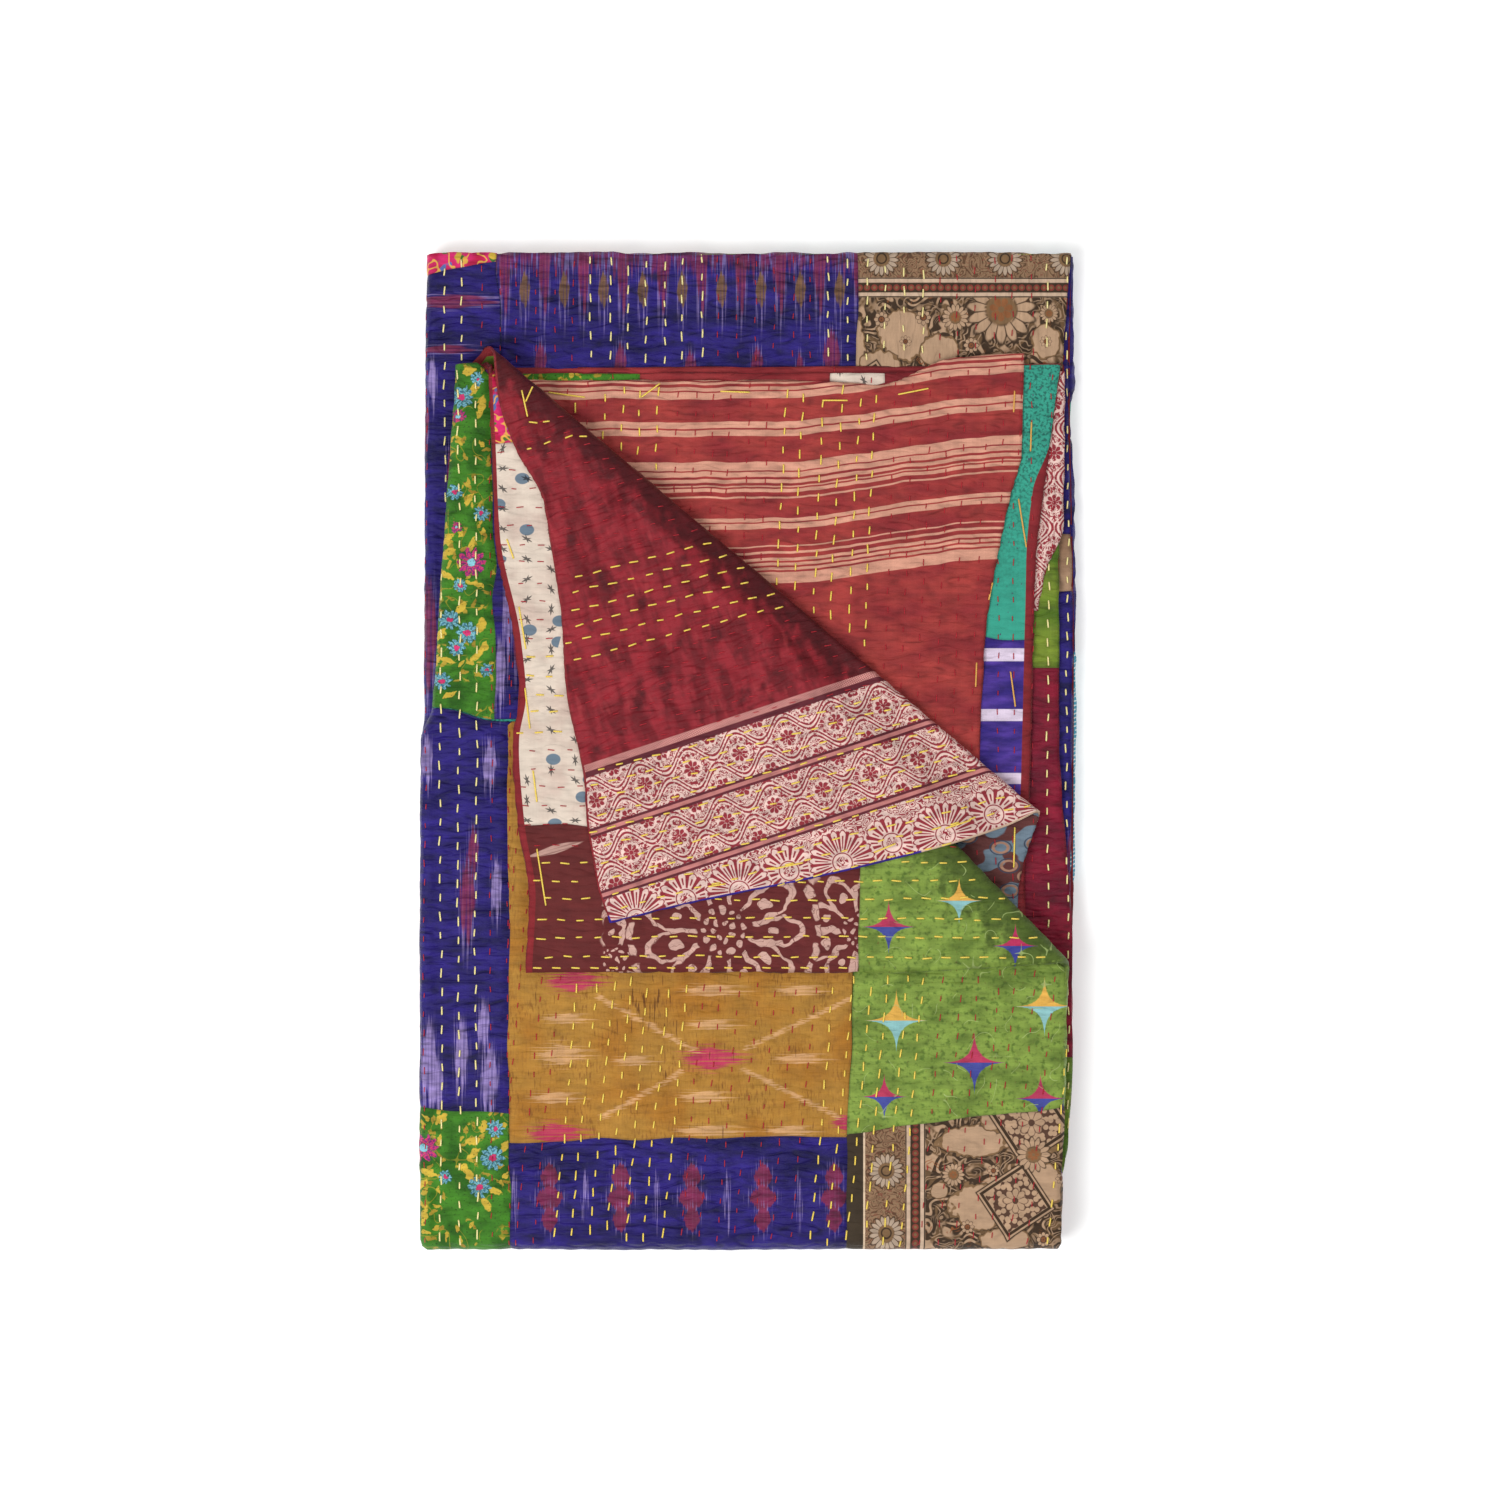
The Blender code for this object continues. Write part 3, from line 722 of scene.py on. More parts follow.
# Pale smears, in the same columns.
OAT_SMEARS = [
    (562, 1054, 12, 24, 16), (566, 1018, 6, 22, 14), (555, 1097, 7, 24, 14), (712, 1024, 6, 24, 14),
    (712, 990, 7, 30, 14), (704, 1096, 7, 24, 14), (708, 1130, 6, 34, 14), (800, 990, 6, 24, 14),
    (800, 1058, 6, 26, 14), (634, 1060, 6, 20, 12), (790, 1130, 6, 24, 12),
]
# Thin pale lines of a lattice. Columns: from across, down, to across, down.
LATTICE = [
    (596, 995, 700, 1053), (862, 993, 745, 1048), (600, 1118, 684, 1070), (742, 1068, 845, 1120),
]
SCRATCHES = (644, 1008, 52)  # across, down, how far they reach


def draw_mustard(x, y):
    """Mustard ikat with magenta lozenges in a lattice of pale lines, the smears across."""
    color = mixed(MUSTARD_DEEP, MUSTARD, noise(x, y, 60, 60, 2, 21).between(0.3, 0.6))
    stains = noise(x, y, 26, 40, 2, 23).between(0.45, 0.65)
    grit = noise(x, y, 2, 9, 2, 24).between(0.48, 0.66)
    color = mixed(color, MUSTARD_STAIN, grit * (stains * 0.5 + 0.2))
    for across, down, half_wide, half_tall, slip in OAT_SMEARS:
        solid, streaks = IKAT(y - down, x - across, half_wide, half_tall, slip)
        color = mixed(color, OAT, (solid * solid * 0.7).most(streaks * 0.5))
    rag = (noise(x, y, 400, 2, 1, 6) - 0.5) * 22
    for x0, y0, x1, y1 in LATTICE:
        length = math.hypot(x1 - x0, y1 - y0)
        dx, dy = (x1 - x0) / length, (y1 - y0) / length
        across = x + rag - x0
        run = across * dx + (y - y0) * dy
        off = abs(across * dy - (y - y0) * dx)
        line = off.between(3.4, 1) * run.between(-2, 4) * run.between(length + 2, length)
        color = mixed(color, OAT, line * noise(x, y, 9, 1.2, 1, 22).between(0.36, 0.52) * 0.65)
    color = ikat_at(x, y, color, LOZENGES, MAGENTA, MAGENTA, flat=True)
    distance, _ = polar(x - SCRATCHES[0], y - SCRATCHES[1])
    threads = noise(x, y, 2.2, 26, 2, 7)
    limit = distance.between(0, SCRATCHES[2]) * 0.14 + 0.58
    return mixed(color, SCRATCH_BROWN, (threads - limit).between(-0.03, 0.03) * 0.8)


# Flowers of the green cloth. Columns: across, down, radius, whether its petals are pink.
GREEN_FLOWERS = [
    (463, 398, 10, 0), (460, 417, 6, 1), (456, 493, 7, 0), (482, 514, 7, 0), (457, 528, 5, 1),
    (472, 563, 13, 1), (461, 586, 6, 0), (450, 620, 9, 0), (468, 633, 10, 0), (457, 648, 8, 0),
    (443, 681, 8, 0), (487, 670, 6, 0), (493, 1157, 11, 0), (425, 1147, 13, 1), (496, 1128, 8, 0),
    (480, 1186, 10, 0), (446, 1176, 6, 0), (478, 380, 6, 0),
]
# Leaves. Columns: across, down, length, width, angle in degrees.
GREEN_LEAVES = [
    (476, 388, 12, 4, 60), (482, 408, 14, 4, 75), (470, 372, 8, 5, 20), (452, 378, 10, 4, -40),
    (447, 455, 9, 3, 10), (451, 441, 7, 3, 30), (445, 478, 8, 3, 70), (470, 500, 9, 3, 60),
    (448, 540, 10, 4, 40), (450, 552, 8, 4, 15), (447, 575, 10, 4, -30), (472, 545, 10, 3, 70),
    (462, 608, 9, 4, 50), (482, 625, 9, 5, 80), (442, 635, 8, 4, 60), (448, 660, 9, 3, -20),
    (478, 655, 12, 4, 40), (484, 648, 9, 4, 65), (450, 695, 9, 3, 20), (438, 660, 7, 3, 75),
    (478, 585, 9, 3, -25), (442, 1118, 8, 5, 50), (473, 1140, 9, 5, 10), (474, 1153, 9, 4, 40),
    (466, 1168, 10, 4, -35), (471, 1176, 10, 4, -60), (505, 1146, 8, 4, 60), (496, 1190, 9, 4, -20),
    (487, 1204, 9, 4, -55), (484, 1126, 8, 4, 75), (430, 1172, 9, 4, -20), (424, 1184, 9, 3, 60),
    (426, 1215, 12, 3, 80), (440, 1140, 8, 3, 75),
]


def draw_leafy(x, y):
    """Green cloth with sky blue and pink flowers and yellow leaves."""
    color = mixed(LEAF_DEEP, LEAF_GREEN, noise(x, y, 26, 26, 4, 31).between(0.34, 0.6))
    bent_x = x + (noise(x, y, 5, 5, 1, 32) - 0.5) * 6
    bent_y = y + (noise(x, y, 5, 5, 1, 34) - 0.5) * 6
    clumps = noise(x, y, 34, 34, 0, 35)
    stem = abs(noise(x, y, 15, 19, 0, 33) - 0.5).between(0.016, 0.006)
    color = mixed(color, STEM, stem * clumps.between(0.44, 0.5) * 0.7)
    local_x, local_y, chance = SCATTER(bent_x, bent_y, 11)
    small = LEAF(local_x, local_y, 5.2, 2.2, chance * 12) * clumps.between(0.46, 0.5)
    color = mixed(color, mixed(OLD_GOLD, YELLOW, chance), small * 0.85)
    for across, down, length, width, angle in GREEN_LEAVES:
        leaf = LEAF(bent_x - across, bent_y - down, length, width, math.radians(-angle))
        color = mixed(color, YELLOW, leaf * 0.9)
    veins = noise(x, y, 2.2, 2.2, 1, 36)
    for across, down, radius, pink in GREEN_FLOWERS:
        place = bent_x - across, bent_y - down
        petal, eye, line = BLOSSOM(*place, radius * 1.25, 10, radius * 0.3, 0.45)
        shade = polar(*place)[0].between(radius * 1.2, radius * 0.9)
        color = mixed(color, FLOWER_SHADE, shade * 0.5)
        color = mixed(color, mixed(*(ROSE_TONES if pink else SKY_TONES), veins.between(0.4, 0.6)),
                      (petal - line * 0.9).clamped())
        color = mixed(color, SKY if pink else PINK, eye)
    return mixed(color, LEAF_SPECK, veins.between(0.63, 0.7) * 0.7)


def draw_rose(x, y):
    """Pink cloth with yellow swirls and blue and green leaves."""
    swirl = noise(x, y, 16, 13, 1, 41)
    color = mixed(ROSE_DEEP, ROSE, noise(x, y, 22, 22, 1, 42).between(0.35, 0.6))
    color = mixed(color, ROSE_LEAF, noise(x, y, 15, 12, 1, 43).between(0.62, 0.66))
    color = mixed(color, ROSE_BLUE, noise(x, y, 14, 17, 1, 44).between(0.63, 0.67))
    color = mixed(color, ROSE_SWIRL, abs(swirl - 0.5).between(0.035, 0.015))
    return mixed(color, YELLOW, swirl.between(0.64, 0.68))


# Bands of the block print, across its border. Columns: start, end.
PRINT_DARK_BAND, PRINT_EDGE_BAND = (-40, 18), (18, 20)
PRINT_FLOWER_BAND, PRINT_BEAD_BAND = (20, 60), (60, 80)
PRINT_BEAD_GROUND, PRINT_BEAD_LINES = (65, 75), [(60, 61.2), (78.6, 80)]
PRINT_FLOWER_STEP, PRINT_FLOWER_ACROSS, PRINT_FLOWER_START = 62, 41, 40
PRINT_BEAD_STEP, PRINT_BEAD_ACROSS = 7.4, 70
# Its pale grounds in the field. Columns: across, down, radius across, radius down.
PRINT_GROUNDS = [
    (128, 10, 34, 15), (196, -2, 24, 22), (136, 76, 30, 22), (196, 54, 20, 22), (160, 108, 24, 10),
    (94, 60, 8, 8), (118, -44, 24, 24), (134, -80, 16, 18), (124, -187, 16, 14), (150, -20, 16, 20),
    (150, -140, 14, 30),
]
# Its lattice diamonds and its great flowers. Columns: across, down, size.
PRINT_DIAMONDS = [(186, -8, 32), (170, 70, 29), (128, 150, 26)]
PRINT_FLOWERS = [
    (188, 24, 18), (108, 44, 12), (93, 128, 13), (232, 92, 13), (92, -142, 36), (100, -96, 14),
    (96, -190, 10),
]
PRINT_DAISIES = [
    (122, 96, 7), (198, 108, 7), (148, 40, 6), (216, 48, 6), (230, 10, 6), (124, -46, 6),
    (124, -187, 6), (100, -64, 8), (102, -22, 8), (128, -112, 8),
]


def scrolls(x, y, size, seed, width):
    """Winding lines, like drawn vines."""
    bent_x = x + (noise(x, y, size, size, 0, seed + 1) - 0.5) * size
    clouds = noise(bent_x, y, size, size, 1, seed)
    return abs((clouds * 9).of("FRACT") - 0.5).between(width, width * 0.5)


def draw_print_field(x, y):
    """Vines on brown-black, with pale grounds, lattice diamonds and many-petalled flowers."""
    fine, broad = scrolls(x, y, 15, 51, 0.22), scrolls(x, y, 34, 54, 0.26)
    patchy = noise(x, y, 22, 22, 1, 57)
    color = mixed(BROWN_BLACK, PRINT_TAUPE, broad * 0.6)
    color = mixed(color, PRINT_TAN, broad * patchy.between(0.5, 0.56))
    color = mixed(color, PRINT_TAN, fine * patchy.between(0.56, 0.44) * 0.7)
    color = mixed(color, RUST, patchy.between(0.6, 0.66) * fine * 0.8)
    edge = (noise(x, y, 9, 9, 1, 58) - 0.5) * 0.7
    for across, down, wide, tall in PRINT_GROUNDS:
        distance, _ = polar((x - across) / wide, (y - down) / tall)
        distance = distance + edge
        color = mixed(color, BROWN_BLACK, distance.between(1.16, 1.08))
        color = mixed(color, PRINT_TAUPE, distance.between(1.1, 1.06))
        color = mixed(color, PRINT_TAN, distance.between(1, 0.96))
    for across, down, size in PRINT_DIAMONDS:
        dx, dy = x - across, y - down
        one, other = dx * 0.94 + dy * 0.34, dy * 0.94 - dx * 0.34
        square = abs(one * 0.8 + other * 0.6).most(abs(other * 0.8 - one * 0.6)) / size
        cell, eye, line = BLOSSOM(dx, dy, size * 0.44, 8, size * 0.1)
        gap, _ = polar(*SCATTER(x, y, 5.6)[:2])
        color = mixed(color, BROWN_BLACK, square.between(1.03, 0.98))
        frame_line = BAND(square, 0.8, 0.9, 0.01)
        color = mixed(color, PRINT_TAN, square.between(0.97, 0.95) * (1 - frame_line))
        color = mixed(color, PRINT_LINE, square.between(0.8, 0.78) * gap.between(2.3, 3))
        color = mixed(color, PRINT_TAN, cell)
        color = mixed(color, PRINT_LINE, (line * 0.8).most(eye))
    for rows, petals in ((PRINT_FLOWERS, 15), (PRINT_DAISIES, 8)):
        for across, down, radius in rows:
            petal, eye, line = BLOSSOM(x - across, y - down, radius, petals, radius * 0.42)
            heart, _, veins = BLOSSOM(x - across, y - down, radius * 0.36, 7, radius * 0.08)
            color = mixed(color, PRINT_TAN, petal)
            color = mixed(color, BROWN_BLACK, line * 0.85)
            color = mixed(color, PRINT_TAUPE if petals > 8 else PRINT_LINE, eye)
            color = mixed(color, RUST, (heart - veins * 0.8).most(0) * 0.7)
    return color


def draw_print_border(x, y):
    """A row of great flowers on scrolls."""
    _, along, _ = TILES(x, y - PRINT_FLOWER_START, ENDLESS, PRINT_FLOWER_STEP)
    across = x - PRINT_FLOWER_ACROSS
    flower, eye, line = BLOSSOM(across, along, 18, 17, 7.5)
    color = mixed(BORDER_TAN, BORDER_BROWN, scrolls(x, y, 11, 61, 0.22))
    color = mixed(color, MADDER, scrolls(x, y, 9, 63, 0.12) * 0.6)
    color = mixed(color, BORDER_PETAL, flower)
    color = mixed(color, BROWN_BLACK, line)
    color = mixed(color, PRINT_TAUPE, eye)
    return mixed(color, BROWN_BLACK, BAND(polar(across, along)[0], 4, 5.5, 0.4))


def draw_print_beads(x, y):
    _, along, _ = TILES(x, y, ENDLESS, PRINT_BEAD_STEP)
    bead, _ = polar(x - PRINT_BEAD_ACROSS, along)
    color = mixed(BEAD_GROUND, BROWN_BLACK, BAND(x, *PRINT_BEAD_GROUND, 0.5))
    color = mixed(color, BEAD, bead.between(3.6, 2.8))
    color = mixed(color, PRINT_TAUPE, bead.between(1.8, 1.2))
    for band in PRINT_BEAD_LINES:
        color = mixed(color, BROWN_BLACK, BAND(x, *band))
    return color


def draw_block_print(x, y):
    """Cream cotton with a brown-black and madder block print: a border and a vine field."""
    dark = mixed(*DARK_BAND_TONES, noise(x, y, 20, 20, 2, 65))
    color = mixed(draw_print_field(x, y), dark, BAND(x, *PRINT_DARK_BAND, 0.4))
    color = mixed(color, EDGE_CREAM, BAND(x, *PRINT_EDGE_BAND))
    color = mixed(color, draw_print_border(x, y), BAND(x, *PRINT_FLOWER_BAND, 0.4))
    return mixed(color, draw_print_beads(x, y), BAND(x, *PRINT_BEAD_BAND, 0.4))


# Peach stripes of the reverse, down its top end. Columns: start, end.
STRIPES = [
    (341, 343.5), (346, 348.5), (351, 355), (377.5, 380), (381.5, 384), (387, 390.5), (392, 399),
    (422, 428.3), (430, 436.2), (462, 470.6), (472, 477), (479.4, 483), (485.6, 487), (488.6, 492),
    (496.4, 498.2), (518, 521.8), (523.2, 528.8), (546, 547.4), (552, 554.4), (558.6, 561.6),
    (563.6, 566.4), (568.4, 571), (573, 584),
]
STRIPE_RISE, STRIPE_RISE_START, STRIPE_RISE_END = 27, 765, 1020


def draw_striped(x, y):
    """Maroon reverse with groups of peach stripes, which rise to the right."""
    wander = (noise(x, y, 46, 120, 2, 71) - 0.5) * 7
    down = y + x.between(STRIPE_RISE_START, STRIPE_RISE_END) * STRIPE_RISE + wander
    color = mixed(MAROON_DEEP, MAROON, noise(x, y, 50, 30, 3, 72).between(0.3, 0.65))
    for start, end in STRIPES:
        color = mixed(color, PEACH, BAND(down, start, end, 0.35))
    return color


# The crease that this silk turns over: a place on it, the way out of it, and how wide the painted
# shade beside it is.
SATIN_FOLD = (37, -429, 0.852, -0.524, 26)
# Bands of the woven border, down from the plain silk. Columns: start, end.
CHECK_BAND, CHECK_EDGE = (0, 7), (7, 12.5)
BORDER_BANDS = [(62, 71), (124, 133)]
BROCADE_START, FANS_START = (12, 12.6), (132.6, 133.4)
# The brocade's two rows of ogees: their middles, and where the second takes over.
OGEE_ROWS, OGEE_CHANGE = (37, 97), 66
OGEE_STEP, OGEE_TALL = 50, 51
# A flower in each ogee and one in each gap. Columns: radius, petals, ground round it.
OGEE_FLOWER, GAP_FLOWER = (9, 8, (10.6, 9.8)), (8.5, 6, (9.6, 9))
FAN_STEP, FAN_START, FAN_DOWN, FAN_SLOPE = 106, 107, 161, 0.052
# Fans and the buds between them. Columns: whether a bud, lift, petals, reach.
FANS = [(True, 6, 13, 27), (False, 0, 20, 33)]


def draw_ogees(x, y):
    """Brocade: flowers in ogees of wavy double lines, filled in with leaves."""
    near, down, _ = TILES(x, y, OGEE_STEP, OGEE_TALL)
    gap_x, gap_y, _ = TILES(x + OGEE_STEP / 2, y + OGEE_TALL / 2, OGEE_STEP, OGEE_TALL)
    leaves = scrolls(x, y, 7, 82, 0.3)
    distance, angle = polar(near, down)
    rays = (angle * 16).of("COSINE").between(-0.1, 0.4) * BAND(distance, 12.5, 16, 0.6)
    color = mixed(WOVEN_CREAM, WOVEN_MAROON, leaves.most(rays))
    off = abs(down) - (x.wave(OGEE_STEP) * 9.5 + 13.5)
    color = mixed(color, WOVEN_CREAM, BAND(off, -5.4, 5.4))
    color = mixed(color, WOVEN_MAROON, BAND(abs(off), 1.2, 3.6))
    for place, (radius, petals, ground) in (((near, down), OGEE_FLOWER), ((gap_x, gap_y), GAP_FLOWER)):
        petal, eye, line = BLOSSOM(*place, radius, petals, 2.2)
        color = mixed(color, WOVEN_CREAM, polar(*place)[0].between(*ground))
        color = mixed(color, WOVEN_MAROON, (petal * (1 - line * 0.8)).most(eye))
    flecks = noise(x, y, 3, 3, 1, 83)
    color = mixed(color, WOVEN_MAROON, flecks.between(0.6, 0.66) * 0.85)
    return mixed(color, WOVEN_CREAM, flecks.between(0.38, 0.33) * 0.8)


def draw_fans(x, y):
    """The border's fans of long petals, with rayed buds between them."""
    (near, _), (far, _) = in_columns(x - FAN_START, y, FAN_STEP)
    tooth = (noise(x, y, 3, 3, 1, 86) - 0.5) * 2
    color = mixed(WOVEN_CREAM, WOVEN_MAROON, scrolls(x, y, 8, 85, 0.3))
    for bud, lift, count, reach in FANS:
        distance, angle = polar(far if bud else near, y - x * FAN_SLOPE - FAN_DOWN + lift)
        rays = (angle * count).of("COSINE")
        tip = reach - (1 - rays) * 2.2 + tooth
        color = mixed(color, WOVEN_CREAM, BAND(distance, 6, reach + 1, 0.5))
        veins = rays.between(0.72, 0.92) * BAND(distance, 14, reach - 6, 0.6)
        gaps = rays.between(-0.25, -0.6).most(veins)
        color = mixed(color, WOVEN_MAROON, gaps * BAND(distance, 11, reach - 1, 0.6))
        color = mixed(color, WOVEN_MAROON, BAND(abs(distance - tip), -1, 0.8))
        color = mixed(color, WOVEN_MAROON, BAND(distance, 9, 10.2))
    return color


def draw_border(x, y):
    """Maroon silk with painted sheen and shade, that ends in a woven border: check, brocade between
    dark bands, then fans.
    """
    satin = mixed(SATIN_DEEP, SATIN, noise(x, y, 16, 50, 3, 91).between(0.36, 0.6))
    # Painted sheen in pale streaks, painted shade in dark clouds and beside the fold.
    satin = mixed(satin, SATIN_PAINTED_SHEEN, noise(x, y, 9, 34, 2, 92).between(0.58, 0.76) * 0.35)
    satin = mixed(satin, SATIN_PAINTED_CLOUDS, noise(x, y, 22, 30, 3, 93).between(0.56, 0.7) * 0.7)
    satin = mixed(satin, SATIN_PAINTED_FOLD_SHADE, PAINTED_FOLD_SHADE(x, y, *SATIN_FOLD) * 0.85)
    first = draw_ogees(x, y - OGEE_ROWS[0])
    second = draw_ogees(x - OGEE_STEP / 3, y - OGEE_ROWS[1])
    color = mixed(satin, mixed(first, second, y > OGEE_CHANGE), y.between(*BROCADE_START))
    color = mixed(color, draw_fans(x, y), y.between(*FANS_START))
    checks = (x.wave(2.2) * y.wave(2.4)).between(-0.2, 0.3)
    color = mixed(color, mixed(*CHECK_TONES, checks), BAND(y, *CHECK_BAND))
    color = mixed(color, WOVEN_EDGE, BAND(y, *CHECK_EDGE))
    for start, end in BORDER_BANDS:
        color = mixed(color, WOVEN_EDGE, BAND(y, start, end))
        color = mixed(color, WOVEN_STRIPE, BAND(y, start + 2.6, end - 2.6))
    return color


# Flowers of the batik. Columns: across, down, petals, radius.
BATIK_FLOWERS = [(724, 930, 11, 82), (860, 930, 9, 60), (612, 962, 8, 52), (812, 862, 8, 34)]
BATIK_LINE, BATIK_START = 6.4, 606
# Rings of dots in a flower's heart. Columns: dots, distance and size as shares of the radius.
BATIK_DOTS = [(7, 0.12, 0.035), (13, 0.25, 0.04)]
# A pale streak beside the flowers: across, down, slope.
BATIK_STREAK = (556, 848.72, 0.28)


def draw_resist(x, y, petals, radius):
    """A batik flower: dark petals edged with pale wax lines, and rings of dots in its heart."""
    distance, angle = polar(x, y)
    fan = abs((angle * petals / 2).of("COSINE"))
    tip = radius * (0.66 + 0.34 * fan)
    heart = radius * 0.34
    pale = BAND(distance, tip - BATIK_LINE, tip + 1, 0.7)
    gaps = fan.between(0.44, 0.36) * BAND(distance, heart, tip, 0.7)
    drop = polar((1 - fan) * 9, (distance - radius * 0.6) / (radius * 0.06))[0]
    pale = pale.most(gaps).most(drop.between(1.1, 0.95))
    for count, away, size in BATIK_DOTS:
        turns = (angle * count / (2 * math.pi)).of("FRACT") - 0.5
        around = turns * radius * (2 * math.pi * away / count)
        dot, _ = polar(around, distance - radius * away)
        pale = pale.most(dot.between(radius * size, radius * size * 0.8))
    beads = (angle * 30).of("COSINE").between(-0.7, -0.3)
    ring = radius * 1.1
    pale = pale.most(BAND(distance, ring, ring + BATIK_LINE, 0.7) * beads)
    return pale, distance.between(radius * 1.12 + BATIK_LINE, ring + BATIK_LINE)


RESIST = Effect("resist flower", {"X": 0, "Y": 0, "Petals": 9, "Radius": 60},
                ["Pale", "Cover"], draw_resist)


def draw_batik(x, y):
    """Brown cotton with great pale resist flowers, crackled where the wax broke."""
    color = mixed(BATIK_DEEP, BATIK_BROWN, noise(x, y, 40, 40, 3, 101))
    bent_x = x + (noise(x, y, 15, 15, 1, 102) - 0.5) * 13
    bent_y = y + (noise(x, y, 15, 15, 1, 105) - 0.5) * 13
    pale = abs(noise(x, y, 22, 22, 0, 106) - 0.5).between(0.09, 0.07)
    for across, down, petals, radius in BATIK_FLOWERS[::-1]:
        flower, cover = RESIST(bent_x - across, bent_y - down, petals, radius)
        pale = flower.most(pale * (1 - cover))
    cracks = abs(noise(x, y, 9, 9, 1, 103) - 0.5).between(0.006, 0.016)
    pale = pale * bent_x.between(BATIK_START - 4, BATIK_START)
    aside = x - BATIK_STREAK[0]
    streak, _ = IKAT(y - BATIK_STREAK[1] + aside * BATIK_STREAK[2], aside, 5, 30, 3)
    return mixed(color, BATIK_PALE, (pale * (0.3 + 0.7 * cracks)).most(streak * 0.85))


PEBBLE_STEP, PEBBLE_START = 30, -9
SPRIG_STEP = (24, 20, 10)  # across, down, drop from column to column
# Leaves of a sprig. Columns: length, width, turn.
SPRIG_LEAVES = [(7, 1.1, 0), (5, 0.9, 0.7), (5, 0.9, -0.7)]


def draw_cream_print(x, y):
    """Ivory cotton with small dark sprigs and grey pebbles."""
    color = mixed(IVORY_DEEP, IVORY, noise(x, y, 30, 30, 3, 111).between(0.3, 0.6))
    local_x, local_y, chance = SCATTER(x - PEBBLE_START, y, PEBBLE_STEP)
    pebble, _ = polar(local_x / 1.3, local_y)
    color = mixed(color, SLATE, pebble.between(6, 5.2) * (chance > 0.74))
    near, down, pick = TILES(x, y, *SPRIG_STEP)
    sprig, *leaves = [LEAF(near, down, length, width, pick * 6 + turned)
                      for length, width, turned in SPRIG_LEAVES]
    for leaf in leaves:
        sprig = sprig.most(leaf)
    return mixed(color, CHARCOAL, sprig * (pick < 0.8) * 0.85)


def draw_slate_print(x, y):
    """Slate blue and brown cotton with pale ovals."""
    color = mixed(SLATE_BROWN, SLATE, noise(x, y, 34, 26, 1, 121).between(0.47, 0.5))
    local_x, local_y, chance = SCATTER(x, y, 34)
    ring, _ = polar(local_x, local_y * 1.5)
    color = mixed(color, OVAL_TAN, BAND(ring, 6, 9, 0.5))
    return mixed(color, OVAL_SLATE, BAND(ring, 10, 11.4, 0.4) * (chance > 0.3))


# Stars of the green print. Columns: across, down, size, whether in warm yellow and pale blue.
STARS = [(896, 1020, 34, 1), (974, 1062, 34, 0), (1044, 1006, 32, 1), (1040, 1098, 28, 0),
         (884, 1096, 26, 0), (888, 926, 30, 0), (958, 900, 26, 1), (1014, 945, 26, 0)]
# Painted shade beside the crease of the turned layers, placed as for the satin.
STAR_FOLD = (497, 372, 0.718, -0.696, 46)  # as for the satin
STAR_FOLD_END = (968, 960)  # down the photograph, where its shade stops


def draw_star_print(x, y):
    """Green silk with four-pointed stars, half in one colour and half in another, and painted shade
    beside the crease of the turned layers.
    """
    mottle = noise(x, y, 34, 26, 3, 131)
    color = mixed(STAR_DARK, STAR_GREEN, mottle.between(0.3, 0.56))
    color = mixed(color, STAR_MOTTLE, noise(x, y, 5, 5, 3, 134).between(0.5, 0.68) * 0.7)
    color = mixed(color, STAR_BROWN, noise(x, y, 3, 4, 1, 136).between(0.68, 0.74) * 0.5)
    # Painted shade beside the fold.
    color = mixed(color, STAR_PAINTED_FOLD_SHADE, PAINTED_FOLD_SHADE(x, y, *STAR_FOLD) * y.between(*STAR_FOLD_END) * 0.8)
    tooth = (noise(x, y, 2, 2, 0, 132) - 0.5) * 2
    for across, down, size, warm in STARS:
        dx, dy = abs(x - across), abs(y - down)
        reach = (dx * dy + 3).of("SQRT") * 1.5 + (dx + dy) * 0.55 + tooth
        star = reach.between(size * 0.62, size * 0.55)
        color = mixed(color, mixed(*(WARM_STAR if warm else COOL_STAR), y > down), star * 0.92)
    sprig = abs(noise(x, y, 24, 24, 0, 133) - 0.5).between(0.01, 0.004)
    sprig = sprig * noise(x, y, 20, 20, 0, 135).between(0.56, 0.6)
    return mixed(color, STAR_SPRIG, sprig * 0.7)


TEAL_FLECKED = (640, 420)  # its flecks thicken from here to here, up the photograph


def draw_teal(x, y):
    fleck = noise(x, y, 3, 3, 3, 141)
    color = mixed(TEAL, TEAL_DEEP, noise(x, y, 30, 30, 2, 142))
    color = mixed(color, TEAL_DARK, fleck.between(0.47, 0.6) * y.between(*TEAL_FLECKED) * 0.75)
    return mixed(color, TEAL_SPECK, noise(x, y, 4, 7, 1, 143).between(0.7, 0.74))


VIOLET_BANDS = [(648, 661), (709, 721), (773, 784)]


def draw_violet_bands(x, y):
    streaks = noise(x, y, 40, 12, 3, 151)
    color = mixed(BAND_VIOLET_DEEP, BAND_VIOLET, streaks.between(0.35, 0.7))
    for start, end in VIOLET_BANDS:
        color = mixed(color, BAND_PALE, BAND(y, start, end, 0.4))
    return color


def draw_hatch(x, y):
    slant = (x * 0.5 + y).wave(4.2).between(0.3, 0.6)
    tooth = noise(x, y, 3, 3, 1, 161).between(0.4, 0.5)
    return mixed(SEA_BLUE, HATCH_PALE, slant * tooth)


def silk(dark, light, long=60, tall=40):
    """Plain silk, shot between two shades."""
    def draw(x, y):
        return mixed(dark, light, noise(x, y, long, tall, 3, 171).between(0.32, 0.64))
    return draw


# The piping of the border's hem starts down here, violet and then cream past this span across.
PIPING_START, PIPING_SPAN = (149, 150), (290, 292)
